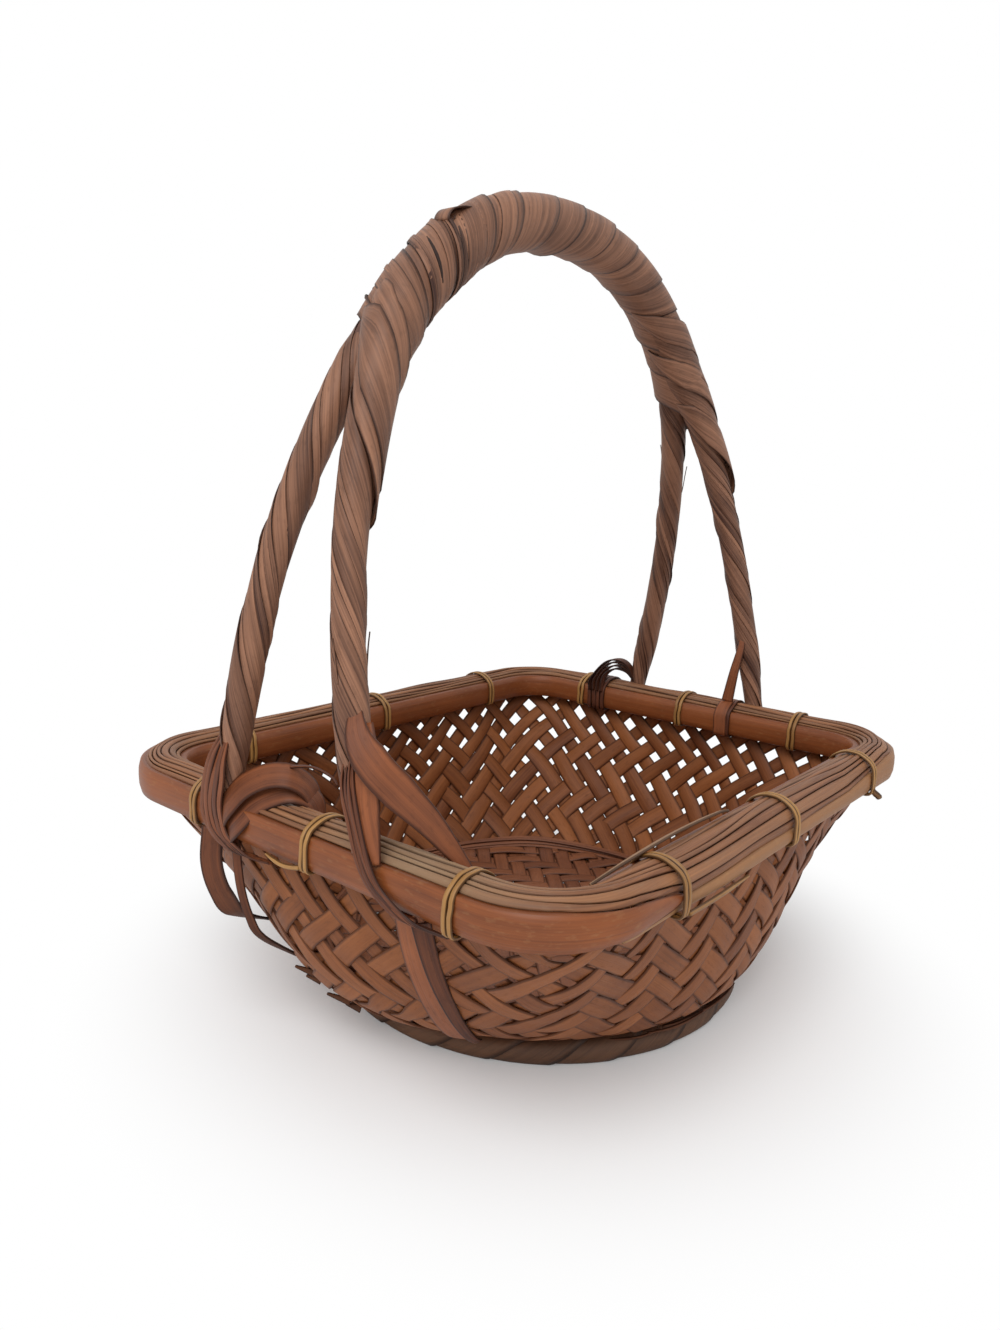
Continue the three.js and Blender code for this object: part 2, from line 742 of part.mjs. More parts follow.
// Stops along a route on the outside of the wall, given by bearings and rises in degrees.
function wallPath(route, lift, steps) {
  const nudge = 1e-3;
  const curve = new THREE.CatmullRomCurve3(route.map(([bearing, rise]) =>
    new THREE.Vector3(THREE.MathUtils.degToRad(bearing), THREE.MathUtils.degToRad(rise), 0)));
  return Array.from({ length: steps + 1 }, (_, i) => {
    const { x: bearing, y: rise } = curve.getPoint(i / steps);
    const point = wallPoint(bearing, rise, -lift);
    const level = wallPoint(bearing + nudge, rise, -lift).sub(point);
    const upward = wallPoint(bearing, rise + nudge, -lift).sub(point);
    return { point, normal: level.cross(upward).normalize() };
  });
}

// Tail of the same foot's strips, from the base ring up the outside of the wall.
const tailRoute = [[203.5, 13], [204.5, 36], [203, 60], [200.5, 80]];
const tailPath = wallPath(tailRoute, 2 * clearance, 12);
addPiece('tail_left_front', skin(sweepRings(tailPath, stripProfile(tailWidth))), colours.wrap);

// Two broad strips looped over the rim beside the left back foot, one under the other.
const loopStart = rimTop + splintCrown / 2 + clearance;
addStrip('rim_loop_left_back_1', [
  left(footPlace - 1.7 * loopWidth, 0, loopStart),
  left(footPlace - 1.85 * loopWidth, 0, loopStart + loopWidth / 2),
  left(footPlace - 2.6 * loopWidth, -0.6 * loopWidth, footLevel + 1.15 * loopWidth),
  left(footPlace - 3 * loopWidth, -1.3 * loopWidth, footLevel + 1.3 * loopWidth),
  left(footPlace - 3.3 * loopWidth, inside + 0.1 * loopWidth, footLevel + 0.7 * loopWidth),
  left(footPlace - 3.5 * loopWidth, inside - 2 * stripThickness, rimTop - 0.2 * loopWidth),
], sides.left.along, loopWidth);
addStrip('rim_loop_left_back_2', [
  left(footPlace - 1.8 * loopWidth, -0.2 * loopWidth, loopStart),
  left(footPlace - 1.95 * loopWidth, -0.25 * loopWidth, loopStart + loopWidth / 3),
  left(footPlace - 2.6 * loopWidth, -0.7 * loopWidth, footLevel + loopWidth / 2),
  left(footPlace - 3 * loopWidth, -1.2 * loopWidth, footLevel + 0.56 * loopWidth),
  left(footPlace - 3.3 * loopWidth, inside + 0.22 * loopWidth, footLevel + 0.18 * loopWidth),
  left(footPlace - 3.5 * loopWidth, inside - 2 * clearance, rimTop - loopWidth / 10),
  left(footPlace - 3.6 * loopWidth, inside, rimTop - 0.6 * loopWidth),
], sides.left.along, loopWidth);

// Two loops hanging below the rim there, sprung out from the wall and tucked back into it.
const { degToRad } = THREE.MathUtils;
const tuckDepth = -2 * clearance - stripThickness;
const wallTuck = (bearing, rise) => wallPoint(degToRad(bearing), degToRad(rise), tuckDepth);
addStrip('hanging_loop_left_back_1', [
  left(footPlace + 1.3 * hangingLoopWidth, -hoopThickness / 2, rimBottom - clearance),
  left(footPlace + 1.15 * hangingLoopWidth, -2 * clearance, rimBottom - 2 * hangingLoopWidth),
  left(footPlace + 0.7 * hangingLoopWidth, -hoopThickness / 2, rimBottom - 3.7 * hangingLoopWidth),
  left(footPlace, -hangingLoopWidth, rimBottom - 5 * hangingLoopWidth),
  wallTuck(166, 57),
], sides.left.along, hangingLoopWidth);
addStrip('hanging_loop_left_back_2', [
  left(footPlace - 1.5 * thinStripWidth, -hoopThickness / 2, rimBottom - clearance),
  left(footPlace - 1.7 * thinStripWidth, -1.1 * thinStripWidth, rimBottom - 5.7 * thinStripWidth),
  left(footPlace - 2 * thinStripWidth, -2 * thinStripWidth, rimBottom - 9.7 * thinStripWidth),
  left(footPlace - 2.9 * thinStripWidth, -3.1 * thinStripWidth, rimBottom - 12.3 * thinStripWidth),
  wallTuck(167.5, 42),
], sides.left.along, thinStripWidth);

// Strip looped from the right back lashing up and across to its foot.
const thin = thinStripWidth;
const rimMiddle = -rimDepth / 2;
const overRim = footLevel + stripThickness + 2 * clearance;
const besideFoot = footPlace + footRadius + wrapSlack + legWrapThickness;
addStrip('rim_loop_right_back', [
  right(backLashPlace - 0.3 * thin, rimMiddle - 1.1 * thin, overRim),
  right(backLashPlace - 1.7 * thin, rimMiddle - 0.3 * thin, footLevel + 2.6 * thin),
  right(backLashPlace - 3.1 * thin, -2.3 * thin, footLevel + 3.6 * thin),
  right(besideFoot + 0.8 * thin, footOut, footLevel + 2.3 * thin),
], sides.right.outward, thin);

// Slanting strip from the right front leg down to the strap beside it.
addStrip('brace_right_front', [
  right(rimStrapPlace - 1.1 * thin, legInside - thin / 2, footLevel + 10 * thin),
  right(rimStrapPlace - 0.6 * thin, legInside - 0.9 * thin, footLevel + 5 * thin),
  right(rimStrapPlace, rimMiddle - 1.1 * thin, overRim),
], sides.right.along, thin);

export default basket;
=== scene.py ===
# %% [markdown]
# # An ikebana basket of split bamboo
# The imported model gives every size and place. This lesson dresses it: each solid that stands for woven,
# wound or split bamboo is replaced by the strips that the real basket is made of. Everything is worked out
# in millimetres and turned into metres when a piece is made.

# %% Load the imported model
import math

import bpy
import numpy as np
from mathutils import Matrix


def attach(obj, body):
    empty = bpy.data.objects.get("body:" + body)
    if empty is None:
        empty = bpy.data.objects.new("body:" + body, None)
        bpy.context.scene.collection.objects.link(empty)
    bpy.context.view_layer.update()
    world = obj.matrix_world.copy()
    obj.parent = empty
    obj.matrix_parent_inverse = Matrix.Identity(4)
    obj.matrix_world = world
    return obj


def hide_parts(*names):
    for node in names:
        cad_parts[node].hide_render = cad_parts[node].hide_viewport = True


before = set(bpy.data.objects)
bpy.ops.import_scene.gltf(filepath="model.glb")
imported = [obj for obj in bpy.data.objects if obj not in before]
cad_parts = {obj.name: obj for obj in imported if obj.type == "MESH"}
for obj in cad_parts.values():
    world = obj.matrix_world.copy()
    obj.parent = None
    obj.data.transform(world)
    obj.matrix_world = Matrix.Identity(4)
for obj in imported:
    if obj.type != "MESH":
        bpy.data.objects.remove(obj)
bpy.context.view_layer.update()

MM = 0.001
chance = np.random.default_rng(24)

# %% [markdown]
# ## Sizes
# The sizes below repeat the ones that the solids were made from, because a strip has to lie exactly where
# its solid lies. The left is -X, the front is -Y, and the handle spans X.

# %% Sizes
rim_length, rim_width, rim_corner = 300.0, 252.0, 40.0
rim_top, rim_bottom, rim_depth = 104.0, 90.5, 20.0
hoop_thickness, crown_height = 4.6, 3.5
wall_inset, wall_thickness, floor_radius, floor_bottom = 8.7, 2.6, 91.0, 10.4
side_belly, corner_belly = 1.1, 0.3
strips_round, weave_rows = 52, 12
ring_radius, ring_height, ring_wrap = 92.5, 4.8, 4.4
foot_level, foot_place = 107.8, 37.8
handle_half, handle_rise, handle_fullness = 146.0, 224.0, 2.25
merge_rise = 165.0
straight_x, straight_y = rim_length / 2 - rim_corner, rim_width / 2 - rim_corner
print("rim", rim_length, "by", rim_width, "mm, handle rises to", foot_level + handle_rise)

# %% [markdown]
# ## Bamboo and rattan
# Split bamboo shows long fibres, strips of different tone and a satin skin. Its edges are darkened, partly
# as darker cut edges and partly as painted shade in the seams and gaps between strips. All the strips share
# that, so it is one node group with named inputs, and each material sets its own colours and strengths. A
# strip's vertices carry two attributes. `fibre` holds the place across and along the strip and a number of
# its own.
# `look` holds its tone, the nearness to its edge, and how far it is mixed towards a third colour there: real
# soil, wear and greying on most strips, painted shade on a few.

# %% Helpers for colours and nodes
def linear(red, green, blue):
    """A colour as seen, 0 to 255, as the linear colour that a shader takes."""
    def one(v):
        v /= 255.0
        return v / 12.92 if v <= 0.04045 else ((v + 0.055) / 1.055) ** 2.4
    return (one(red), one(green), one(blue), 1.0)


def node(tree, kind, links=(), **settings):
    """A node with its settings, its inputs linked to sockets or set to plain values."""
    made = tree.nodes.new(kind)
    for name, value in settings.items():
        setattr(made, name, value)
    for name, value in dict(links).items():
        if isinstance(value, bpy.types.NodeSocket):
            tree.links.new(value, made.inputs[name])
        else:
            made.inputs[name].default_value = value
    return made


def math_node(tree, operation, a, b=0.0, clamp=False):
    """One step of arithmetic on two values."""
    made = node(tree, "ShaderNodeMath", {0: a, 1: b}, operation=operation, use_clamp=clamp)
    return made.outputs[0]


def mix_node(tree, factor, a, b):
    """Colour `a` turning into `b` as the factor goes from 0 to 1 (the colours' sockets are 6, 7 and 2)."""
    made = node(tree, "ShaderNodeMix", {"Factor": factor, 6: a, 7: b}, data_type="RGBA")
    return made.outputs[2]


def fibre_noise(tree, across, along, own, detail):
    """Noise drawn out along the strip: `across` and `along` are its fineness per millimetre."""
    place = node(tree, "ShaderNodeAttribute", attribute_name="fibre").outputs["Vector"]
    stretch = {0: place, 1: (across, along, own)}
    stretched = node(tree, "ShaderNodeVectorMath", stretch, operation="MULTIPLY").outputs[0]
    noise = node(tree, "ShaderNodeTexNoise", {"Vector": stretched, "Scale": 1.0, "Detail": detail})
    return noise.outputs["Fac"]


print("a mid grey of 128 is", round(linear(128, 128, 128)[0], 3), "to a shader")

# %% [markdown]
# The group mixes a deep and a pale colour by the strip's own tone, by fine and broad streaks and by large
# clouds. Then it mixes in the third colour and darkens the edges, partly for darker cut edges and partly as
# painted shade in seams and gaps, and gives the roughness and the height of the fibres.

# %% The fibre node group
fibre_group = bpy.data.node_groups.new("Bamboo fibre", "ShaderNodeTree")
group_inputs = {"Pale": linear(176, 120, 86), "Deep": linear(84, 46, 32), "Soiled and shaded": linear(60, 42, 34),
                "Tone": 0.45, "Tone spread": 0.5, "Streaks": 0.5, "Edge shade": 0.5, "Gloss": 0.42}
for name, start in group_inputs.items():
    kind = "NodeSocketFloat" if isinstance(start, float) else "NodeSocketColor"
    fibre_group.interface.new_socket(name=name, in_out="INPUT", socket_type=kind).default_value = start
for name, kind in (("Colour", "Color"), ("Roughness", "Float"), ("Height", "Float")):
    fibre_group.interface.new_socket(name=name, in_out="OUTPUT", socket_type="NodeSocket" + kind)


def build_fibre_group(tree):
    """Turns a strip's place and look into its colour, roughness and height."""
    def calc(operation, a, b, clamp=False):
        return math_node(tree, operation, a, b, clamp)

    given = node(tree, "NodeGroupInput").outputs
    result = node(tree, "NodeGroupOutput").inputs
    look = node(tree, "ShaderNodeAttribute", attribute_name="look").outputs["Vector"]
    tone, edge, soil = node(tree, "ShaderNodeSeparateXYZ", {0: look}).outputs
    fine = fibre_noise(tree, 2.2, 0.02, 1.0, 3.0)
    broad = fibre_noise(tree, 0.5, 0.012, 1.7, 2.0)
    patch = fibre_noise(tree, 0.06, 0.035, 0.37, 2.0)
    own = calc("MULTIPLY", calc("SUBTRACT", tone, 0.5), given["Tone spread"])
    streak = calc("MULTIPLY", calc("SUBTRACT", calc("ADD", fine, broad), 1.0), given["Streaks"])
    cloud = calc("MULTIPLY", calc("SUBTRACT", patch, 0.5), 0.55)
    level = calc("ADD", calc("ADD", given["Tone"], own), calc("ADD", streak, cloud))
    level = calc("MAXIMUM", calc("MINIMUM", level, 1.0), 0.0)
    colour = mix_node(tree, level, given["Deep"], given["Pale"])
    speck = fibre_noise(tree, 0.7, 0.25, 2.3, 4.0)
    speck = node(tree, "ShaderNodeMapRange", {"Value": speck, "From Min": 0.56, "From Max": 0.78}).outputs[0]
    # The third look value mixes in the third colour: real soil, wear and greying on most strips, painted
    # shade on the arch's black slit strips and the hanging loops.
    grime_and_shade = calc("ADD", soil, calc("MULTIPLY", speck, 0.3), True)
    colour = mix_node(tree, grime_and_shade, colour, given["Soiled and shaded"])
    # Edges darken towards a deep brown: partly darker cut edges, partly painted shade in the seams and gaps
    # between strips.
    border = node(tree, "ShaderNodeMapRange", {"Value": edge, "From Min": 0.72, "From Max": 1.0},
                  interpolation_type="SMOOTHSTEP").outputs[0]
    border = calc("MULTIPLY", border, given["Edge shade"])
    dark = node(tree, "ShaderNodeVectorMath", {0: colour, 1: (0.16, 0.12, 0.11)}, operation="MULTIPLY")
    colour = mix_node(tree, border, colour, dark.outputs[0])
    rough = calc("ADD", given["Gloss"], calc("MULTIPLY", fine, 0.22))
    rough = calc("ADD", rough, calc("MULTIPLY", grime_and_shade, 0.2))
    height = calc("ADD", fine, calc("MULTIPLY", broad, 0.6))
    tree.links.new(colour, result["Colour"])
    tree.links.new(rough, result["Roughness"])
    tree.links.new(height, result["Height"])


build_fibre_group(fibre_group)
print("node group:", fibre_group.name, len(fibre_group.nodes), "nodes")

# %% [markdown]
# ## Finishes
# The weave is red-brown and satin. The outer hoop is warmer and smoother. The splints on top of the rim have
# gone grey in places, the base ring is the darkest, and the rattan is golden. Each is the same group with
# other values.

# %% Materials
def new_material(name):
    """A material with its node tree and its Principled shader."""
    material = bpy.data.materials.new(name)
    material.use_nodes = True
    return material, material.node_tree, material.node_tree.nodes["Principled BSDF"]


def bamboo(name, pale, deep, soiled, tone=0.45, spread=0.5, streaks=0.5, edge=0.5, gloss=0.42, bump=0.3,
           specular=0.4):
    """A material of the fibre group: its three colours, then the strength of each of its traits."""
    material, tree, shader = new_material(name)
    group = node(tree, "ShaderNodeGroup", node_tree=fibre_group)
    values = (linear(*pale), linear(*deep), linear(*soiled), tone, spread, streaks, edge, gloss)
    for key, value in zip(group_inputs, values):
        group.inputs[key].default_value = value
    height = group.outputs["Height"]
    bumped = node(tree, "ShaderNodeBump", {"Height": height, "Strength": bump, "Distance": 0.0005})
    tree.links.new(group.outputs["Colour"], shader.inputs["Base Color"])
    tree.links.new(group.outputs["Roughness"], shader.inputs["Roughness"])
    tree.links.new(bumped.outputs[0], shader.inputs["Normal"])
    shader.inputs["Specular IOR Level"].default_value = specular
    print("material:", name)
    return material


weave_bamboo = bamboo("weave bamboo", (172, 106, 60), (88, 44, 24), (62, 38, 26),
                      tone=0.5, spread=0.42, streaks=0.4, edge=0.7, specular=0.25)
floor_bamboo = bamboo("floor bamboo", (164, 102, 66), (84, 45, 30), (58, 38, 30),
                      tone=0.47, spread=0.36, streaks=0.4, edge=0.6)
hoop_bamboo = bamboo("hoop bamboo", (160, 90, 45), (88, 43, 22), (168, 126, 84),
                     tone=0.5, streaks=0.55, gloss=0.3, bump=0.2, specular=0.36)
splint_bamboo = bamboo("splint bamboo", (178, 120, 78), (98, 56, 35), (152, 124, 96),
                       tone=0.5, spread=0.55, streaks=0.8, edge=0.85, bump=0.5)
wrap_bamboo = bamboo("wrap bamboo", (174, 125, 97), (62, 35, 26), (44, 28, 22),
                     spread=0.46, streaks=0.9, edge=0.9, gloss=0.4, bump=0.5, specular=0.3)
lash_bamboo = bamboo("lashing bamboo", (168, 98, 58), (70, 37, 26), (38, 24, 19),
                     spread=0.75, edge=0.8, gloss=0.4, bump=0.4, specular=0.3)
base_bamboo = bamboo("base bamboo", (122, 84, 58), (58, 38, 28), (40, 30, 24),
                     tone=0.42, streaks=0.6, edge=0.8, gloss=0.5, bump=0.45)
rattan = bamboo("rattan", (190, 142, 80), (124, 82, 42), (84, 56, 34),
                tone=0.5, spread=0.4, streaks=0.6, edge=0.8, gloss=0.34, bump=0.35)

# %% [markdown]
# ## Lines
# Every strip follows a line. A few points are set or worked out, and a smooth curve is led through them and
# divided evenly, which a Bezier curve wouldn't do. `drift` gives the small unevenness of hand work.

# %% Lines
def unit(v):
    """Vectors brought to length 1."""
    return v / np.maximum(np.linalg.norm(v, axis=-1, keepdims=True), 1e-9)


def along_lengths(points):
    """The length of a line of points, as far as each of them."""
    return np.concatenate([[0.0], np.cumsum(np.linalg.norm(np.diff(points, axis=0), axis=1))])


def interp_rows(at, marks, rows):
    """Rows of a table, read off at places between its marks."""
    return np.stack([np.interp(at, marks, rows[:, k]) for k in range(rows.shape[1])], -1)


def smooth_line(points, steps):
    """Evenly spaced points on a smooth curve through the given ones (a cubic through each group of four)."""
    p = np.asarray(points, float)
    p = np.concatenate([[2 * p[0] - p[1]], p, [2 * p[-1] - p[-2]]])
    t = np.linspace(0, 1, 24, endpoint=False)[:, None]
    out = []
    for a, b, c, d in zip(p[:-3], p[1:-2], p[2:-1], p[3:]):
        out.append(0.5 * (2 * b + (c - a) * t + (2 * a - 5 * b + 4 * c - d) * t ** 2
                          + (3 * b - a - 3 * c + d) * t ** 3))
    out = np.concatenate(out + [p[-2:-1]])
    length = along_lengths(out)
    return interp_rows(np.linspace(0, length[-1], steps), length, out)


def drift(count, knots, size):
    """A smooth random wander, for the small unevenness of hand work."""
    marks = chance.normal(0, size, knots)
    return smooth_line(np.stack([np.linspace(0, 1, knots), marks], -1), count)[:, 1]


print("a line through two points 10 mm apart is", along_lengths(smooth_line([(0, 0), (10, 0)], 5))[-1], "mm")

# %% [markdown]
# ## A strip
# Every piece is made of strips. A strip follows a line of points, each with the direction that its face
# looks in. Its section has a flat back, rounded edges and a slightly crowned face, so that light runs along
# it as on the real thing. Curves with a bevel could do that too, but they can't change width or tilt freely,
# so the mesh is made directly. A `Bundle` gathers strips into one piece.

# %% Strips
section_across = np.array([-0.5, 0.0, 0.5, 0.5, 0.5, 0.32, 0.0, -0.32, -0.5, -0.5])
section_ease = np.array([1.0, 0.0, -1.0, 0.0, -1.0, 0.0, 0.0, 0.0, 1.0, 0.0])


def add_object(name, data):
    """A new object in the scene."""
    made = bpy.data.objects.new(name, data)
    bpy.context.scene.collection.objects.link(made)
    return made


class Bundle:
    """Strips gathered into one mesh, with the attributes that their material reads."""

    def __init__(self):
        self.points, self.faces, self.fibre, self.look = [], [], [], []
        self.count = 0

    def skin(self, rings, across, along, edge, tone, soil=0.0, closed=False):
        """Closes a skin over rings of points, as one strip with its own place in the fibre noise."""
        n, m = rings.shape[:2]
        own = chance.uniform(0, 90)
        index = np.arange(n * m).reshape(n, m)
        after = np.roll(index, -1, axis=0) if closed else index[1:]
        before = index if closed else index[:-1]
        quads = np.stack([before, np.roll(before, -1, 1), np.roll(after, -1, 1), after], -1).reshape(-1, 4)
        a, b, c, d = (rings.reshape(-1, 3) - rings.mean(axis=(0, 1)))[quads.T]
        volume = np.einsum("ij,ij->", a, np.cross(b, c)) + np.einsum("ij,ij->", a, np.cross(c, d))
        faces = (quads + self.count).tolist()
        if not closed:
            faces += [(end + self.count).tolist() for end in (index[0][::-1], index[-1])]
        self.faces += [f[::-1] for f in faces] if volume < 0 else faces
        self.points.append(rings.reshape(-1, 3))
        for held, parts in ((self.fibre, (across, along, own)), (self.look, (tone, edge, soil))):
            held.append(np.stack([np.broadcast_to(v, (n, m)) for v in parts], -1).reshape(-1, 3))
        self.count += n * m

    def strip(self, line, facing, width, thickness=0.9, tone=None, crown=0.2, sink=0.5, soil=0.0, tilt=0.0,
              closed=False):
        """A strip along a line. `sink` is the share of its thickness that lies behind the line."""
        line, facing = np.asarray(line, float), np.asarray(facing, float)
        n = len(line)
        width = np.broadcast_to(np.asarray(width, float), n)
        tone = chance.uniform(0, 1) if tone is None else tone
        if closed:
            tangent = unit(np.roll(line, -1, 0) - np.roll(line, 1, 0))
        else:
            tangent = unit(np.gradient(line, axis=0))
        side = unit(np.cross(tangent, facing))
        lift = unit(np.cross(side, tangent))
        tilt = np.broadcast_to(tilt, n)[:, None]
        side, lift = side * np.cos(tilt) + lift * np.sin(tilt), lift * np.cos(tilt) - side * np.sin(tilt)
        soft = np.minimum(0.3 / width, 0.2)[:, None]
        rise = np.array([0.0, 0.0, 0.0, 0.5, 1.0, 1 + 0.6 * crown, 1 + crown, 1 + 0.6 * crown, 1.0, 0.5])
        across = (section_across + section_ease * soft) * width[:, None]
        height = (rise - sink) * thickness * np.ones((n, 1))
        rings = line[:, None] + across[..., None] * side[:, None] + height[..., None] * lift[:, None]
        edge = np.abs(section_across) * 2 * np.ones((n, 1))
        soil = np.broadcast_to(soil, n)[:, None]
        self.skin(rings, across, along_lengths(line)[:, None], edge, tone, soil, closed)

    def piece(self, name, material, slot, *nodes):
        """The gathered strips as one object that rides on the basket and stands for its CAD nodes."""
        mesh = bpy.data.meshes.new(name)
        mesh.from_pydata((np.concatenate(self.points) * MM).tolist(), [], self.faces)
        for key, values in (("fibre", self.fibre), ("look", self.look)):
            held = mesh.attributes.new(key, "FLOAT_VECTOR", "POINT")
            held.data.foreach_set("vector", np.concatenate(values).astype(np.float32).ravel())
        mesh.shade_smooth()
        mesh.materials.append(material)
        made = add_object(name, mesh)
        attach(made, "root")
        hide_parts(*nodes)
        print(name, len(mesh.vertices), "vertices")


print("a strip has", len(section_across), "points round its section")

# %% [markdown]
# ## The rim's outline
# The rim is a rectangle with round corners. A place on it is a share of the way round, so that strips, ties
# and hoops can be spaced by length. The share is looked up in a table, which is simpler than a formula by
# sides.

# %% The rim's outline
def outline_table(inset, count=4000):
    """Shares of the way round from the middle of the right side, with x, y and the outward turn there."""
    radius = rim_corner - inset
    bend = math.pi / 2 * radius
    runs = [straight_y, bend, 2 * straight_x, bend, 2 * straight_y, bend, 2 * straight_x, bend, straight_y]
    ends = np.concatenate([[0], np.cumsum(runs)])
    turn_ends = np.radians([0, 0, 90, 90, 180, 180, 270, 270, 360, 360])
    corner_x = np.array([1, 1, 1, -1, -1, -1, -1, 1, 1, 1]) * straight_x
    corner_y = np.array([0, 1, 1, 1, 1, -1, -1, -1, -1, 0]) * straight_y
    length = np.linspace(0, ends[-1], count)
    turn = np.interp(length, ends, turn_ends)
    x = np.interp(length, ends, corner_x) + radius * np.cos(turn)
    y = np.interp(length, ends, corner_y) + radius * np.sin(turn)
    return length / ends[-1], x, y, turn


rim_shares, rim_x, rim_y, rim_turn = outline_table(0.0)
rim_round = 4 * (straight_x + straight_y) + math.tau * rim_corner


def rim_line(share, inset=0.0, height=0.0):
    """Points on the rim at shares of the way round, and the outward directions there."""
    share = np.asarray(share, float) % 1.0
    turn = np.interp(share, rim_shares, rim_turn)
    out = np.stack([np.cos(turn), np.sin(turn), 0 * turn], -1)
    x, y = np.interp(share, rim_shares, rim_x), np.interp(share, rim_shares, rim_y)
    return np.stack([x, y, 0 * turn + height], -1) - np.asarray(inset)[..., None] * out, out


def share_near(x, y):
    """The share of the way round at the point of the rim nearest to a place."""
    return rim_shares[np.argmin((rim_x - x) ** 2 + (rim_y - y) ** 2)]


def outline_reach(angle, inset):
    """How far the rim's outline, drawn in by an inset, is from the middle in a direction."""
    radius = rim_corner - inset
    half_x, half_y = straight_x + radius, straight_y + radius
    c, s = np.abs(np.cos(angle)), np.abs(np.sin(angle))
    middle = c * straight_x + s * straight_y
    inside = np.maximum(middle ** 2 - straight_x ** 2 - straight_y ** 2 + radius ** 2, 0)
    reach = middle + np.sqrt(inside)
    reach = np.where(s * half_x <= c * straight_y, half_x / np.maximum(c, 1e-6), reach)
    return np.where(c * half_y <= s * straight_x, half_y / np.maximum(s, 1e-6), reach)


print("the rim is", round(rim_round), "mm round")

# %% [markdown]
# ## The bowl's surface
# In every direction the wall leaves the round floor level and meets the rounded-rectangle rim upright.
# Towards the middles of the sides it is full-bellied, and towards the corners it is drawn in. A strip's
# place on it is a share of the way round and a row of the weave. Round the floor the shares are even in
# angle, and at the rim they are even in length, so the mesh of the weave opens evenly from the floor to the
# rim.

# %% The wall and the bowl
def wall_at(angle, rise, depth):
    """A point of the wall from its bearing, its turn from level (0) to upright, and its depth inwards."""
    c, s = np.abs(np.cos(angle)) * rim_width, np.abs(np.sin(angle)) * rim_length
    corner = 2 * c * s / (c * c + s * s)
    belly = side_belly + (corner_belly - side_belly) * corner ** 2
    climbed = 1 - np.cos(rise)
    spread = outline_reach(angle, wall_inset + depth) - floor_radius
    reach = floor_radius + spread * (climbed + belly * (np.sin(rise) - climbed))
    height = floor_bottom + depth + (rim_bottom - floor_bottom - depth) * climbed
    return np.stack([reach * np.cos(angle), reach * np.sin(angle), height], -1)


bearing_steps, climb_steps = 360, 200
rise_marks = np.linspace(0, math.pi / 2, 300)
even_climb = np.linspace(0, 1, climb_steps + 1)
rise_table, wall_lengths = [], []
for bearing in np.linspace(0, math.tau, bearing_steps + 1):
    length = along_lengths(wall_at(bearing, rise_marks, wall_thickness / 2))
    rise_table.append(np.interp(even_climb, length / length[-1], rise_marks))
    wall_lengths.append(length[-1])
rise_table = np.array(rise_table)
row_height = float(np.mean(wall_lengths)) / weave_rows


def rise_at(angle, climbed):
    """The wall's turn at a share of the way up it, from the table by bearing."""
    column = np.asarray(angle) % math.tau / math.tau * bearing_steps
    row = np.clip(climbed, 0, 1) * climb_steps
    i = np.minimum(column.astype(int), bearing_steps - 1)
    j = np.minimum(row.astype(int), climb_steps - 1)
    u, v = column - i, row - j
    low = rise_table[i, j] * (1 - u) + rise_table[i + 1, j] * u
    high = rise_table[i, j + 1] * (1 - u) + rise_table[i + 1, j + 1] * u
    return low * (1 - v) + high * v


wall_shares, wall_x, wall_y, _ = outline_table(wall_inset)
wall_bearing = np.unwrap(np.arctan2(wall_y, wall_x))


def bowl(share, row, depth):
    """A point of the bowl: share of the way round, row of the weave (below 0: floor), depth inwards."""
    share, row = np.asarray(share, float), np.asarray(row, float)
    turns = np.floor(share)
    by_rim = np.interp(share - turns, wall_shares, wall_bearing) + math.tau * turns
    climbed = np.clip(row / weave_rows, 0, 1)
    angle = math.tau * share + climbed * (by_rim - math.tau * share)
    point = wall_at(angle, rise_at(angle, climbed), depth)
    inwards = np.minimum(row, 0) * row_height
    upwards = np.maximum(row - weave_rows, 0) * row_height
    return point + np.stack([inwards * np.cos(angle), inwards * np.sin(angle), upwards], -1)


def facing_of(surface, round_at, up_at, depth, round_step, up_step):
    """The outward direction of a surface, from small steps to each side of a place on it."""
    level = surface(round_at + round_step, up_at, depth) - surface(round_at - round_step, up_at, depth)
    upward = surface(round_at, up_at + up_step, depth) - surface(round_at, up_at - up_step, depth)
    return unit(np.cross(level, upward))


print("a row of the weave is", round(row_height, 1), "mm high")

# %% [markdown]
# ## The weave of the wall
# The wall is a twill: each strip goes over two and under two. One set of strips climbs to one side, the
# other set to the other, and they cross once in every row. A displaced sheet would give the pattern but no
# gaps to see through, so every strip is its own ribbon that rises and dips where it crosses the other set.
# Low down the strips lie close, and near the rim the gaps open into the small diamonds that let light
# through. Strips have split and shrunk in a few places, a few at the left end are broken, and loose fibres
# lie low along the front.

# %% Wall weave
weave_lift, weave_thickness, crossing_share = 0.72, 0.85, 0.72
thin_places = np.array([(-118.5, -27.0, 27.4), (-121.0, -19.5, 27.6), (-115.8, -35.0, 27.2),
                        (-102.0, -34.0, 16.3), (-128.4, -100.3, 81.0), (-125.8, -102.5, 80.0)])
thin_loss, thin_spread = 0.45, 22
row_marks, row_widths = [-0.5, 0, 3, 6, 9, 12.8], [8.2, 8.5, 9.5, 9.7, 8.2, 7.3]


def is_over(i, j):
    """Whether rising strip i is outside falling strip j: a twill level on the ends, upright on the sides."""
    at = rim_line(((i + j) / (2 * strips_round)) % 1.0)[0]
    on_side = abs(at[1]) / rim_width > abs(at[0]) / rim_length
    return ((i + j) % 4 if on_side else (j - i) % 4) < 2


def twill_wave(at, marks, over, steps):
    """How far over (1) or under (-1) the others a strip lies at places along it, from its crossings."""
    places = np.stack([marks, marks + 0.5], -1).ravel()
    heights = np.stack([crossing_share * over, (over + np.roll(over, -1)) / 2], -1).ravel()
    wave = smooth_line(np.stack([places, heights], -1)[:-1], steps)
    return np.interp(at, wave[:, 0], wave[:, 1])


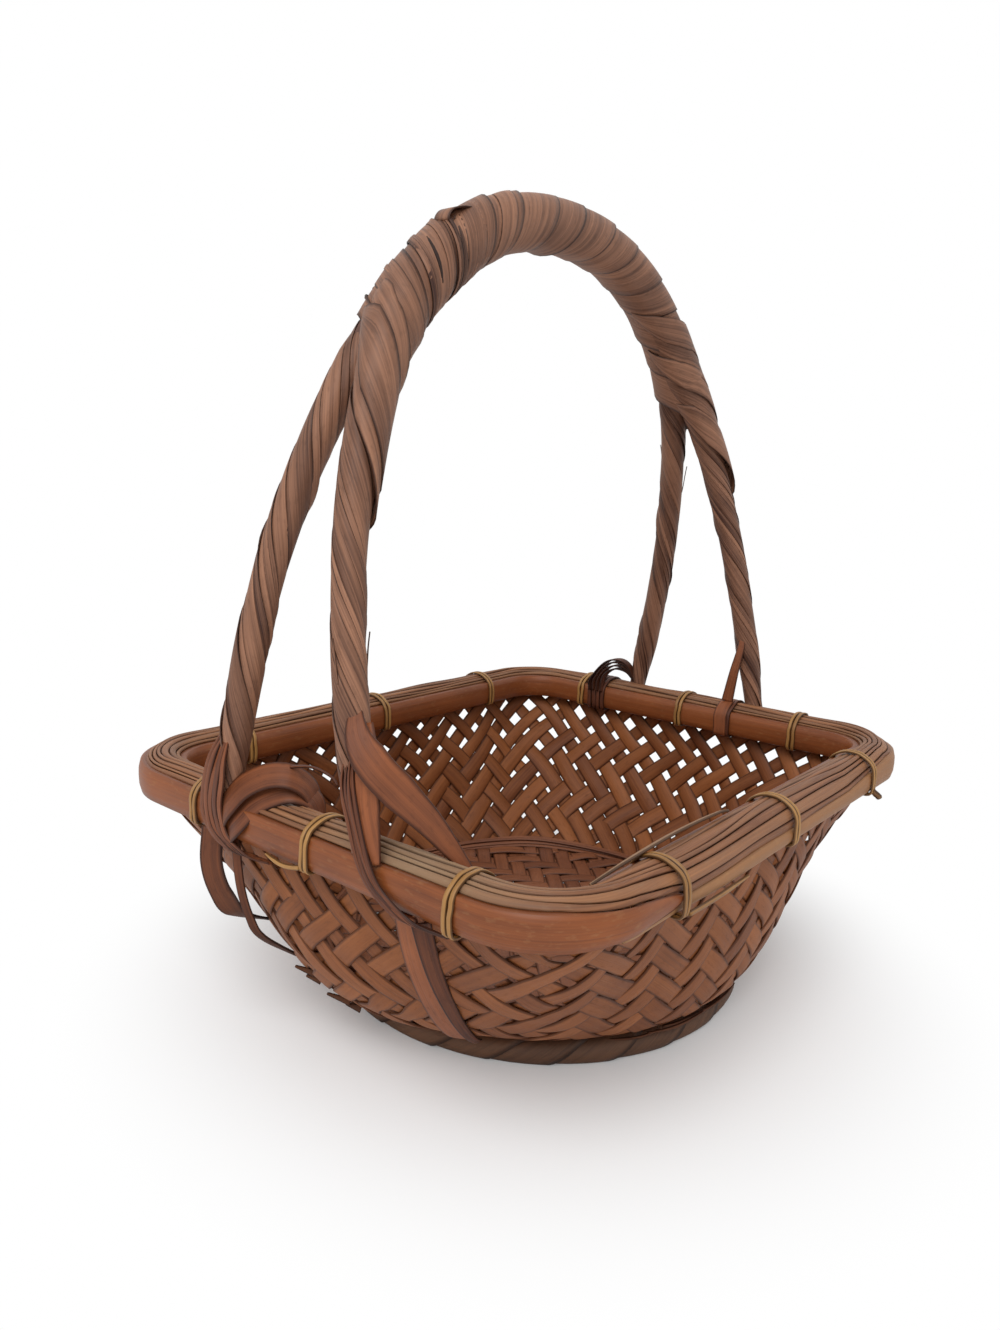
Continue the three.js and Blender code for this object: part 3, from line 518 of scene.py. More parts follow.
def weave_strip(bundle, hand, number, stops=90):
    """One strip of the wall, from under the floor's edge to inside the rim."""
    row = np.linspace(-0.45, weave_rows + 0.75, stops)
    crossings = np.arange(-2, weave_rows + 3)
    if hand > 0:
        over = np.array([1.0 if is_over(number, number + m) else -1.0 for m in crossings])
    else:
        over = np.array([-1.0 if is_over(number - m, number) else 1.0 for m in crossings])
    lift = weave_lift * twill_wave(row, crossings, over, 900)
    share = (number + hand * row / 2 + drift(stops, 9, 0.04) + chance.normal(0, 0.04)) / strips_round
    facing = facing_of(bowl, share, row, wall_thickness / 2, 1e-4, 0.02)
    line = bowl(share, row, wall_thickness / 2) + lift[:, None] * facing
    width = np.interp(row, row_marks, row_widths) * chance.uniform(0.94, 1.05) + drift(stops, 8, 0.12)
    for place in thin_places:
        width = width * (1 - thin_loss * np.exp(-np.sum((line - place) ** 2, axis=1) / thin_spread))
    bundle.strip(line, facing, width, weave_thickness, crown=0.22, tilt=drift(stops, 15, 0.035))


rising, falling = Bundle(), Bundle()
for number in range(strips_round):
    weave_strip(rising, 1, number)
    weave_strip(falling, -1, number)
broken_ends = ((171.0, 42.0, 5.0), (172.5, 39.0, 3.5), (178.0, 33.0, 5.5), (180.5, 29.0, 3.5))
for bearing, rise, length in broken_ends:
    at = wall_at(math.radians(bearing), math.radians(rise), -0.6)
    step = np.linspace(-1, 1, 14)[:, None] * length
    width = np.interp(step[:, 0], [-length, length], [3.2, 1.2])
    falling.strip(at + step * (-0.3, 0.9, 0.1), (-0.85, -0.2, 0.45), width, 0.8, soil=0.8)
loose_fibres = ((246, 262, 1.6), (252, 273, 2.2), (259, 280, 1.5), (268, 284, 1.8), (236, 249, 1.3))
for begin, end, wide in loose_fibres:
    angle = np.radians(np.linspace(begin, end, 24))
    rise = np.radians(np.linspace(11, 17, 24) + chance.uniform(-3, 4) + drift(24, 5, 1.0))
    line = wall_at(angle, rise, -1.6 - 0.9 * np.sin(np.linspace(0, math.pi, 24)))
    width = wide * np.sin(np.linspace(0.3, 2.9, 24))
    falling.strip(line, unit(line * (1, 1, 0)), width, 0.8, tone=0.05, soil=0.6)
rising.piece("wall_weave_rising", weave_bamboo, "weave", "woven_body")
falling.piece("wall_weave_falling", weave_bamboo, "weave", "woven_body")

# %% [markdown]
# ## The floor
# The floor is the same twill on a square grid, closer and darker, and it lies on the tucked-in ends of the
# wall's strips. Its edge rises a little over them and is held down by the inner hoop.

# %% Floor weave
floor_pitch, floor_edge, floor_width, floor_lift = 9.0, 93.5, 8.3, 0.62
tuck_radius, tuck_run = 81, 9


def floor_height(x, y):
    """The middle of the floor's weave, raised where it lies over the ends of the wall's strips."""
    over_wall = np.clip((np.hypot(x, y) - tuck_radius) / tuck_run, 0, 1) ** 2
    return floor_bottom + wall_thickness - 0.95 + 2.0 * over_wall


floor = Bundle()
for hand in (0, 1):
    for k in range(-10, 11):
        offset = k * floor_pitch
        half = math.sqrt(max(floor_edge ** 2 - offset ** 2, 0))
        t = np.linspace(-half, half, max(int(half / 1.1), 12))
        marks = np.arange(math.floor(t[0] / floor_pitch) - 1, math.ceil(t[-1] / floor_pitch) + 2)
        crossing = (k - marks) % 4 if hand == 0 else (marks - k + 2) % 4
        over = np.where(crossing < 2, 1.0, -1.0)
        lift = floor_lift * twill_wave(t / floor_pitch, marks, over, 500)
        sway = offset + drift(len(t), 6, 0.25)
        x, y = ((t - sway, t + sway) if hand == 0 else (sway - t, sway + t))
        x, y = x * math.sqrt(0.5), y * math.sqrt(0.5)
        line = np.stack([x, y, floor_height(x, y) + lift], -1)
        width = floor_width * chance.uniform(0.94, 1.04)
        floor.strip(line, (0, 0, 1), width, 0.8, crown=0.2, tilt=drift(len(t), 9, 0.03))
floor.piece("floor_weave", floor_bamboo, "weave", "woven_body")

# %% [markdown]
# ## The inner base hoop
# Inside, a hoop of thin strips lies in the turn from the floor to the wall. Each strip wavers a little up
# and down, as a bent splint does, so it is swept round the bowl's own surface.

# %% Inner base hoop
turn = np.linspace(0, math.tau, 240, endpoint=False)
inner_hoop = Bundle()
for up, depth, wide in ((0.038, 3.6, 3.0), (0.062, 4.4, 3.4), (0.088, 3.9, 3.0), (0.060, 5.6, 2.2)):
    sway = up + 0.006 * np.sin(3 * turn + chance.uniform(0, 6))
    line = wall_at(turn, rise_at(turn, sway), depth)
    uphill = unit(wall_at(turn, rise_at(turn, sway + 0.02), depth) - line)
    level = unit(np.roll(line, -1, 0) - np.roll(line, 1, 0))
    inner_hoop.strip(line, np.cross(uphill, level), wide, 1.0, closed=True)
inner_hoop.piece("inner_base_strips", floor_bamboo, "splint", "inner_base_hoop")

# %% [markdown]
# ## The base ring
# The basket stands on a ring wound slantwise with flat strip. Each turn lies over the edge of the one
# before, like a shingle, so the strip's radius grows across its width. The ring is flat underneath where it
# has been set down.

# %% Base ring winding
def shingle_rows(count, low, thickness, overlap):
    """Inner and outer radius of each row across a strip that lies over its neighbour."""
    air, bow = 0.12, 0.12
    across = np.linspace(0, 1, count)
    inner = low + across * (thickness + air) * overlap
    belly = bow * np.sin(math.pi * across)
    return across, inner + belly, inner + thickness + belly


base_turns, base_overlap, base_strip, base_slant, base_stops = 24, 1.18, 0.7, 1.9, 34
fibre_width, fibre_stretch, soil_below = 20, 1.6, 0.25
base_ring = Bundle()
across, inner, outer = shingle_rows(7, ring_wrap - 0.25, base_strip, base_overlap)
both = np.concatenate([across, across[::-1]]) - 0.5
pitch = math.tau / base_turns
for number in range(base_turns):
    turn = np.linspace(-0.06, math.tau + 0.06, base_stops) - math.pi / 2
    lean = base_slant * (turn + math.pi / 2) / math.tau
    bearing = pitch * (number + lean) + drift(base_stops, 4, 0.004)
    place = bearing[:, None] + pitch * base_overlap * chance.uniform(0.96, 1.05) * both
    radius = np.concatenate([inner, outer[::-1]])[None] + drift(base_stops, 5, 0.07)[:, None]
    reach = ring_radius + radius * np.cos(turn)[:, None]
    height = np.maximum(ring_height + radius * np.sin(turn)[:, None], 0.02)
    rings = np.stack([reach * np.cos(place), reach * np.sin(place), height], -1)
    along = (turn * ring_wrap * fibre_stretch)[:, None]
    # The lower half of each turn is mixed towards the ring's darkest colour, so the ring is darker towards
    # its underside.
    base_ring.skin(rings, both * fibre_width, along, np.abs(both) * 2, chance.uniform(0, 1),
                   soil_below * np.clip(-np.sin(turn), 0, 1)[:, None])
base_ring.piece("base_ring_strips", base_bamboo, "base_strip", "base_ring_winding")

# %% [markdown]
# ## The rim
# Two smooth hoops clamp the edge of the weave, with thin splints packed between them and standing proud on
# top. The outer hoop is one long strip. It begins low along the front, where the splints spill over it, and
# its other end comes round the corner, shaved to a point, and is laid over the beginning.

# %% Rim hoops
def hoop_rings(share, inset_from, inset_to, low, high, bulge=0.5):
    """Rings of a hoop's rounded section, each with its own insets and heights."""
    soft = np.minimum(1.1, (high - low) * 0.35) + 0 * share
    inwards = np.sign(inset_to - inset_from)
    rows = []
    for t, round_off in ((0.0, 0.35), (0.25, 0.0), (0.5, 0.0), (0.75, 0.0), (1.0, 0.35)):
        inset = inset_from - inwards * bulge * (1 - (2 * t - 1) ** 2) + inwards * soft * round_off
        rows.append((inset, low + soft * 0.35 + t * (high - low - 0.7 * soft)))
    rows += [(inset_from + inwards * soft, high), (inset_to - inwards * soft, high), (inset_to, high - soft),
             (inset_to, low + soft), (inset_to - inwards * soft, low), (inset_from + inwards * soft, low)]
    rings = np.stack([rim_line(share, inset, height)[0] for inset, height in rows], 1)
    return rings, np.stack([height + 0 * share for _, height in rows], 1) - rim_bottom


def front_share(x):
    """The share of the way round at a place along the front."""
    return share_near(x, -rim_width / 2)


hoop_start, hoop_tip, hoop_stops = front_share(-118), front_share(-84) + 1, 460
last_corner = share_near(-138, -114) + 1
high_marks = ((hoop_start, 96.0), (front_share(-60), 95.8), (front_share(0), 96.8), (front_share(60), 97.6),
              (front_share(108), 103.0), (1.0, 103.8), (1.5, 103.4), (last_corner, 104.2),
              (front_share(-110) + 1, 102.4), (front_share(-92) + 1, 99.4), (hoop_tip, 97.4))
low_marks = ((hoop_start, 90.3), (1.0, 90.6), (1.5, 90.5), (last_corner, 91.2),
             (front_share(-110) + 1, 93.2), (front_share(-92) + 1, 94.2), (hoop_tip, 96.4))
share = np.linspace(hoop_start, hoop_tip, hoop_stops)
run, left = (share - hoop_start) * rim_round, (hoop_tip - share) * rim_round
high = np.interp(share, *zip(*high_marks)) + 0.2 * drift(hoop_stops, 14, 1.0)
low = np.interp(share, *zip(*low_marks)) + 0.2 * drift(hoop_stops, 14, 1.0)
inset_from = np.interp(run, [0, 30, 60], [2.3, 2.0, 0.2])
inset_to = np.interp(left, [0, 30, 70], [1.4, 2.2, hoop_thickness])
outer_hoop = Bundle()
rings, place = hoop_rings(share, inset_from, inset_to, low, high)
# The hoops' top, inner side and underside are darkened by the edge value: painted shade where they meet the
# splints and the weave.
edge = np.array([0.85, 0, 0, 0, 0.8, 0.85, 1, 1, 1, 1, 1])
worn = np.interp(run, [0, 60, 330, 480], [0.75, 0.6, 0.5, 0.0])[:, None]
outer_hoop.skin(rings, place, run[:, None], edge, 0.55, worn)
outer_hoop.piece("rim_outer_hoop", hoop_bamboo, "hoop", "outer_rim_hoop")

share = np.linspace(0, 1, 360, endpoint=False)
inner_rim = Bundle()
rings, place = hoop_rings(share, rim_depth, rim_depth - hoop_thickness, rim_bottom, rim_top - 0.4, 0.4)
inner_rim.skin(rings, place, (share * rim_round)[:, None], edge, 0.62, closed=True)
inner_rim.piece("rim_inner_hoop", hoop_bamboo, "hoop", "inner_rim_hoop")

# %% [markdown]
# ## The splints
# The splints share out the width of the rim between them, each broad in one place and narrow in another.
# Seen in section they lie along a low crown, which runs on down the outside along the front. One has sprung
# loose there.

# %% Rim splints
def crown_at(inset):
    """How high the crown stands over the hoops at an inset."""
    return crown_height * (1 - (2 * inset / rim_depth - 1) ** 2)


splint_count, splint_gap = 7, 0.32
share = np.linspace(0, 1, 520, endpoint=False)


def ripple(waves):
    """Waves all round the rim, begun anywhere."""
    return np.sin(math.tau * (waves * share + chance.uniform(0, 1)))


crown_stops = [(17.4, 103.9), (16.6, 105.2), (15.0, 106.3), (12.5, 107.2), (10.0, 107.4), (7.0, 107.0),
               (4.9, 106.0), (2.9, 104.3), (1.5, 102.0), (0.9, 99.5), (0.8, 96.0)]
crown_curve = smooth_line(crown_stops, 200)
crown_lengths = along_lengths(crown_curve)
crown_normal = unit(np.gradient(crown_curve, axis=0)[:, ::-1] * (1, -1))
falling_half = slice(100, None)
hoop_top = np.interp(np.where(share < hoop_tip - 1, share + 1, share), *zip(*high_marks))
outer_end = np.interp(-hoop_top, -crown_curve[falling_half, 1], crown_lengths[falling_half])
weight = np.array([np.exp(sum(chance.normal(0, 0.22) * ripple(n) for n in range(1, 8)))
                   for k in range(splint_count)])
bounds = np.vstack([0 * share, np.cumsum(weight, axis=0) / weight.sum(axis=0)]) * outer_end
section = np.array([(0, 3.2), (0, 0.5), (0.07, 0.08), (0.3, -0.16), (0.5, -0.2), (0.7, -0.16), (0.93, 0.08),
                    (1, 0.5), (1, 3.2)])
# The splints' sides and bottoms are darkened by the edge value: painted shade in the gaps between splints.
section_edge = np.array([0.9, 0.9, 0.85, 0, 0, 0, 0.85, 0.9, 0.9])
splints = Bundle()
for k in range(splint_count):
    begin, end = bounds[k] + splint_gap / 2, bounds[k + 1] - splint_gap / 2
    place = begin[:, None] + section[:, 0] * (end - begin)[:, None]
    wander = 0.16 * sum(ripple(n) for n in (3, 7, 13, 19))
    depth = section[:, 1] + (wander + chance.normal(0.1, 0.22))[:, None]
    at = interp_rows(place, crown_lengths, crown_curve)
    at = at - depth[..., None] * interp_rows(place, crown_lengths, crown_normal)
    rings = np.stack([rim_line(share, at[:, m, 0], at[:, m, 1])[0] for m in range(len(section))], 1)
    from_grey = (share - share_near(-150, -58)) * rim_round
    greyed = 0.75 * np.exp(-(from_grey / 42) ** 2) + chance.uniform(0, 0.25)
    splints.skin(rings, place, (share * rim_round)[:, None], section_edge, chance.uniform(0.1, 0.9),
                 greyed[:, None], closed=True)
loose = smooth_line([(-119, -110.5, 106.6), (-95, -109.5, 107.6), (-65, -109.0, 108.3), (-38, -110.4, 108.6),
                     (-31, -112.0, 108.4)], 50)
width = np.interp(loose[:, 0], [-119, -85, -40, -31], [1.0, 3.8, 4.6, 1.2])
splints.strip(loose, (0.0, 0.5, 0.87), width, tone=0.9, soil=0.7)
splints.piece("rim_splints", splint_bamboo, "splint", *[f"rim_splint_{k}" for k in range(1, 6)])

# %% [markdown]
# ## The rattan ties
# Twelve ties hold the rim together. Each is a strand of rattan peel taken twice over the rim and through the
# weave below it. Along the front and left the strand also runs on under the hoop.

# %% Rattan ties and threads
sides = {"left": ((-1, 0, 0), (0, 1, 0), rim_length / 2), "right": ((1, 0, 0), (0, 1, 0), rim_length / 2),
         "front": ((0, -1, 0), (1, 0, 0), rim_width / 2), "back": ((0, 1, 0), (1, 0, 0), rim_width / 2)}


def by_side(name, stops):
    """Points by a side of the rim, from (place along, distance out from the rim's outer face, height)."""
    outward, onward, reach = sides[name]
    along, out, height = np.asarray(stops, float).T
    return np.outer(out + reach, outward) + np.outer(along, onward) + np.outer(height, (0, 0, 1))


def rim_section(lift):
    """(out, height) stops over the rim from under the inner hoop to under the outer hoop."""
    outer = [(-rim_depth / 2, rim_top + crown_height + lift), (-6.2, rim_top + crown_at(6.2) + lift),
             (-2.2, rim_top + 0.8 + lift), (-0.3 + 0.7 * lift, rim_top - 1.6 + 0.5 * lift),
             (lift + 0.3, rim_top - 4.0), (lift + 0.5, rim_bottom + 6.0), (lift + 0.3, rim_bottom + 1.2),
             (-0.9, rim_bottom - lift), (-4.6, rim_bottom - 1.2 * lift), (-7.2, rim_bottom - 0.6)]
    inner = [(-rim_depth - out, height) for out, height in outer[:0:-1]]
    return np.array(inner + outer)


def round_rim(name, line):
    """Directions away from the rim's middle along a line that goes over the rim."""
    rim_middle = 97.0
    outward, onward, reach = (np.array(v, float) for v in sides[name])
    facing = unit(np.cross(onward, np.gradient(line, axis=0)))
    core = np.outer(line @ onward, onward) + (reach - rim_depth / 2) * outward + np.array([0, 0, rim_middle])
    return facing * np.sign(np.sum((line - core) * facing, axis=1))[:, None]


def over_rim(bundle, name, places, wide, thickness=0.85, lift=0.25, slant=0.0, **more):
    """Strips taken over the rim at places along one of its sides."""
    for place in places:
        stops = rim_section(lift)
        along = place + slant * np.linspace(-0.5, 0.5, len(stops)) + chance.normal(0, 0.16, len(stops))
        line = smooth_line(by_side(name, np.column_stack([along, stops])), 64)
        bundle.strip(line, round_rim(name, line), wide, thickness, sink=0.0, **more)


tie_share, left_shift, steps = 0.395, 0.07 * 2 * straight_y, (-1, 0, 1)
long_ties, short_ties = tie_share * 2 * straight_x, tie_share * 2 * straight_y
tie_places = {"left": [k * short_ties - left_shift for k in steps], "right": [k * short_ties for k in steps],
              "front": [k * long_ties for k in steps], "back": [k * long_ties for k in steps]}
ties = Bundle()
for name, places in tie_places.items():
    for place in places:
        over_rim(ties, name, (place - 1.2, place + 1.2), wide=2.2, thickness=0.75, lift=0.12,
                 slant=chance.normal(0, 1.5), crown=0.4)
knot = smooth_line([(86, -127.2, 92), (88, -129.5, 89.5), (90.5, -128.2, 88.2), (89.5, -126.2, 90.2),
                    (87, -126.5, 91)], 40)
ties.strip(knot, (0, -0.6, -0.8), 2.4, 1.4, tone=0.1, soil=0.5)
ties.piece("rim_ties", rattan, "rattan", *[f"rim_tie_{n}_{k}" for n in tie_places for k in (1, 2, 3)])

threads = Bundle()
for name, begin, reach, high, dip in (("left", tie_places["left"][1] + 2.4, 18.5, 91.3, -1.6),
                                      ("front", tie_places["front"][0] + 2.4, 42.5, 90.6, -0.4)):
    t = np.linspace(0, 1, 7)
    out, height = 0.35 + 0.2 * np.sin(3 * t), high + dip * np.sin(math.pi * t)
    line = smooth_line(by_side(name, np.column_stack([begin + reach * t, out, height])), 40)
    width = np.interp(np.linspace(0, 1, 40), [0, 0.7, 1], [2.1, 2.0, 0.8])
    threads.strip(line, sides[name][0], width, crown=0.4, sink=0.0)
threads.piece("rim_threads", rattan, "rattan", "rim_thread_left", "rim_thread_front")

# %% [markdown]
# ## The handle
# Two bundles of bamboo stand on the rim at each end, lean together and run side by side over the arch. Their
# line is a rounded arch in the middle plane, from which each leg swings out to its foot.

# %% The handle's line
arch_turn = np.linspace(-math.pi / 2, math.pi / 2, 3000)
power = 2 / handle_fullness
handle_x = handle_half * np.sign(arch_turn) * np.abs(np.sin(arch_turn)) ** power
handle_z = foot_level + handle_rise * np.maximum(np.cos(arch_turn), 0) ** power
handle_points = np.stack([handle_x, 0 * arch_turn, handle_z], -1)
handle_lengths = along_lengths(handle_points)
handle_length = handle_lengths[-1]


def handle_at(length):
    """Middle of the handle at lengths along it, going straight down past its ends."""
    middle = interp_rows(length, handle_lengths, handle_points)
    middle[..., 2] -= np.maximum(np.maximum(-length, length - handle_length), 0)
    return middle


def leg_centre(hand):
    """A function that gives the middle of the front (-1) or the back (1) leg at lengths along the handle."""
    together = 5.1

    def centre(length):
        middle = handle_at(length)
        rise = middle[..., 2] - foot_level
        middle[..., 1] += hand * (together + (foot_place - together) * np.maximum(1 - rise / merge_rise, 0))
        return middle
    return centre


print("handle length", round(float(handle_length)), "mm")

# %% [markdown]
# The wraps lie on what they are wound round: a round leg, or the arch, whose section is drawn out to an oval
# where it takes in both legs. Each section gives the radius at a length along the handle and an angle round
# it.

# %% Sections under the wraps
def leg_section(length, angle):
    """Radius of a leg, thinner at the foot and fuller under the shoulder."""
    marks, radii = [0, 25, 90, 140, 150, 165, 184], [3.7, 5.1, 5.1, 5.5, 5.7, 6.3, 5.0]
    from_foot = np.minimum(length, handle_length - length)
    return np.interp(from_foot, marks, radii) + 0 * angle


def arch_oval(length, angle):
    """Half the distance between the oval's two rounds, and their radius, fuller inside the left shoulder."""
    marks = [105, 120, 135, 150, 175, 200]
    along = length - handle_length / 2
    apart = np.interp(np.abs(along), marks, [0.6, 2.2, 6.2, 8.9, 13.6, 18.6])
    radius = np.interp(np.abs(along), marks, [9.5, 9.1, 7.3, 6.4, 6.2, 5.6])
    fuller = np.interp(along, [-150, -105, -80, -40, 0], [0.0, 1.0, 1.6, 0.8, 0.0])
    return apart, radius + fuller * np.maximum(-np.sin(angle), 0)


def front_round(length):
    """Middle of the oval's front round, which becomes the front leg."""
    middle = handle_at(length)
    middle[..., 1] -= arch_oval(length, 0.0)[0]
    return middle


def front_section(length, angle):
    """Radius of the oval's front round."""
    return arch_oval(length, angle)[1]


def arch_section(length, angle):
    """Round along the arch, and drawn out to a flat oval where it takes in the two legs side by side."""
    apart, radius = arch_oval(length, angle)
    c, s = np.abs(np.cos(angle)), np.maximum(np.abs(np.sin(angle)), 1e-6)
    at_end = apart * c + np.sqrt(np.maximum(radius ** 2 - (apart * s) ** 2, 0))
    return np.where(radius * c <= apart * s, radius / s, at_end)


print("the arch is", round(2 * float(arch_section(handle_length / 2, 0.0)), 1), "mm thick at the top")

# %% [markdown]
# Each leg is wrapped with strips of several widths wound steeply. The arch is wrapped with broad strip at a
# lower angle, every edge lying on the next. The winding is a grid: turns one way, the strip's width the
# other.

# %% Winding
turn_stops = 32


def winding(marks, pitches):
    """Lengths along the handle and the turns wound by there, from the pitch at some lengths."""
    lengths = np.linspace(marks[0], marks[-1], 800)
    turns = np.cumsum(np.diff(lengths) / np.interp(lengths[1:], marks, pitches))
    return lengths, np.concatenate([[0.0], turns])


def wind(bundle, centre, section, wound, first, last, share, phase, thickness=0.7, lean=1.0, lift=0.0,
         lap=4.0, loose=0.0, low=-math.inf, high=math.inf, tone=None, soil=0.0, ease=0.3):
    """A strip wound from turn to turn, its edge over its neighbour, its ends narrowed and pressed in."""
    lengths, turns = wound
    span = last - first
    count = max(int(span * turn_stops), 12)
    turn = np.linspace(first, last, count)
    at = np.interp(turn, turns, lengths)
    wide = share * np.gradient(at, turn) + lap
    across, inner, outer = shingle_rows(8, lift, thickness, lean)
    both = np.concatenate([across, across[::-1]]) - 0.5
    tuck = np.clip(np.minimum(turn - first, last - turn) / ease, 0, 1)
    sway = drift(count, max(int(span * 3), 4), 0.3)
    length = np.clip((at + sway)[:, None] + (wide * (0.25 + 0.75 * tuck))[:, None] * both, low, high)
    angle = -math.tau * (turn + phase)[:, None]
    middle = centre(length)
    tangent = unit(centre(length + 0.5) - centre(length - 0.5))
    onward = np.array([0.0, 1.0, 0.0])
    sideways = unit(onward - np.sum(tangent * onward, -1, keepdims=True) * tangent)
    outside = np.cross(tangent, sideways)
    outside = outside * np.sign(np.sum(outside * (middle - (0, 0, foot_level)), -1, keepdims=True))
    swell = drift(count, max(int(span * 6), 5), 0.14)[:, None] - 1.2 * (1 - tuck)[:, None]
    gape = np.maximum(drift(count, max(int(span * 4), 5), loose), 0)[:, None] * np.maximum(both, 0) ** 2 * 4
    reach = section(length, angle) + np.concatenate([inner, outer[::-1]])[None] + swell + gape
    spoke = np.cos(angle)[..., None] * sideways + np.sin(angle)[..., None] * outside
    girth, pitch = math.tau * float(np.mean(reach)), (at[-1] - at[0]) / span
    slope = math.atan2(girth, pitch)
    over = both[None] * wide[:, None]
    along = (turn - first)[:, None] * math.hypot(girth, pitch) + over * math.cos(slope)
    tone = chance.uniform(0, 1) if tone is None else tone
    rings = middle + reach[..., None] * spoke
    bundle.skin(rings, over * math.sin(slope), along, (np.abs(both) * 2) ** 3, tone, soil)


print("a turn of a strip has", turn_stops, "stops")

# %% [markdown]
# ## The legs
# Eight strips, broad and narrow in a chance order, lie side by side round each leg and are wound up it
# together. The narrow ones lie a little over the broad, and split fibres stand off. One textured tube would
# lose the edges that catch the light, so each strip is wound on its own.

# %% Leg wraps
leg_pitch, leg_low, leg_high, narrow_below = 84.0, -26.0, 186.0, 8
leg_ends = {"left": (leg_low, leg_high), "right": (handle_length - leg_high, handle_length - leg_low)}
leg_wound = winding([-30.0, handle_length + 30.0], [leg_pitch, leg_pitch])
for hand, hands in ((-1, "front"), (1, "back")):
    for end, reach in leg_ends.items():
        wraps = Bundle()
        widths = chance.permutation([24.0, 5.0, 7.0, 17.0, 4.5, 14.5, 6.0, 6.0])
        places = np.cumsum(widths) - widths / 2
        for wide, place in zip(widths, places):
            first, last = np.interp(reach, *leg_wound) + chance.uniform(-0.03, 0.03, 2)
            lift = 0.25 if wide < narrow_below else chance.uniform(0, 0.12)
            wind(wraps, leg_centre(hand), leg_section, leg_wound, first, last, wide / leg_pitch,
                 -place / leg_pitch, thickness=0.5, lean=0.5, lift=lift, lap=1.6, loose=0.35, low=-3.0,
                 high=handle_length + 3.0, ease=0.12)
        for k in range(2):
            far = chance.uniform(35, 150) + np.array([0, 5, 10, 15])
            away = chance.uniform(0, math.tau)
            outward = np.array([math.cos(away), math.sin(away), 0])
            middle = leg_centre(hand)(far if end == "left" else handle_length - far)
            fray = smooth_line(middle + np.outer([5.9, 6.5, 7.0, 7.7], outward), 16)
            wraps.strip(fray, outward + (0, 0, 0.2), np.linspace(0.9, 0.2, 16), 0.4, tone=0.6)
        wraps.piece(f"leg_wrap_{end}_{hands}_strips", wrap_bamboo, "wrap_strip", f"leg_wrap_{end}_{hands}")

# %% [markdown]
# ## The arch
# Two broad strips share one winding, so they lie edge over edge all along the arch. Two narrower ones and
# slivers lie over the left shoulder, with two black strips there as painted shade for the shadowed slits
# between wraps. At both shoulders short strips wound steeply round the front leg cover the ends of the
# arch's wrap, each lifted over the one beside it. One end has come loose and curls up.

# %% Arch wrap
arch = Bundle()
half = handle_length / 2
arch_from, arch_to, arch_seam = half - 152, half + 150, -0.014
arch_wound = winding(half + np.array([-180, -110, -60, 0, 60, 100, 180]), [60, 50, 42, 40, 42, 40, 40])
from_turn, to_turn = np.interp((arch_from, arch_to), *arch_wound)


def on_arch(*places, **more):
    """A strip of the arch's own winding."""
    wind(arch, handle_at, arch_section, arch_wound, *places, **more)


for share, later, tone in ((0.56, 0.0, 0.62), (0.44, 0.5, 0.5)):
    first, phase = from_turn + later, arch_seam - from_turn - later
    last = to_turn - (to_turn + phase - arch_seam) % 1.0
    on_arch(first, last, share, phase, lap=4.5, loose=0.5, tone=tone)
for share, later, reach, tone in ((0.24, 0.08, 100, 0.45), (0.2, 0.56, 78, 0.7)):
    first, phase = from_turn + later, arch_seam - from_turn - later
    last = first + round(float(np.interp(arch_from + reach, *arch_wound)) - from_turn)
    on_arch(first, last, share, phase, thickness=0.5, lean=0.8, lift=0.9, lap=1.0, loose=0.5, tone=tone)
steep_pitch, front_bearing = 90.0, 160
steep = winding([half - 240, half + 240], [steep_pitch, steep_pitch])
shoulder_strips = ((-163, 25, 0.6), (-150, 30, 0.4), (-135, 21, 0.7), (100, 19, 0.5), (115, 23, 0.35),
                   (130, 21, 0.62), (146, 25, 0.45), (162, 23, 0.6))
for k, (middle, wide, tone) in enumerate(shoulder_strips):
    turn, first, last = np.interp(half + middle + np.array([0, -33, 27]), *steep)
    wind(arch, front_round, front_section, steep, first, last, 0.0, -front_bearing / 360 - turn,
         thickness=0.5, lean=0.3, lift=1.5 + 0.7 * (k % 2), lap=wide, loose=0.4, tone=tone, ease=0.16)
for k in range(9):
    first, last = np.interp(half + chance.uniform((-128, -86), (-104, -50)), *arch_wound)
    on_arch(first, last, 0.02, chance.uniform(0, 1), thickness=0.5, lean=0.2, lift=1.55,
            lap=chance.uniform(0.4, 3.2), loose=0.3, tone=chance.uniform(0.0, 0.7),
            soil=chance.choice([0.0, 0.0, 0.5]))
# These two black strips are painted shade: they stand for the shadowed slits between the wraps.
for along, bearing, wide in ((-94.0, 160.0, 1.8), (-113.0, 172.0, 2.4)):
    turn = float(np.interp(half + along, *arch_wound))
    on_arch(turn - 0.22, turn + 0.24, 0.0, -bearing / 360 - turn, thickness=0.4, lean=0.1, lift=1.75,
            lap=wide, tone=0.0, soil=1.0)
curl = handle_at(half + np.array([-60.0, -64, -68, -72, -75, -76.5, -75, -72.5]))
onwards = unit(handle_at(half + np.array([-70.0])) - handle_at(half + np.array([-72.0])))
outwards = np.cross(onwards, (0.0, 1.0, 0.0))
curl = curl + np.outer([8.4, 10.4, 11.8, 12.6, 12.0, 10.6, 9.6, 10.2], outwards) + np.array([0, -2.0, 0])
curl = smooth_line(curl, 40)
arch.strip(curl, np.cross(np.gradient(curl, axis=0), (0.0, 1.0, 0.0)), 8.0, 0.5, tone=0.5)
arch.piece("arch_wrap_strips", wrap_bamboo, "wrap_strip", "arch_wrap")

# %% [markdown]
# ## The feet
# Narrow strips bind each foot to the rim. On the left they come down the leg, fan out and go under the rim's
# outer hoop, so a row of strips is shifted along one line of stops. On the right they go straight over the
# rim.

# %% Foot lashings
lash_taper = np.interp(np.linspace(0, 1, 70), [0, 0.2, 0.36], [0.25, 0.5, 1.0])


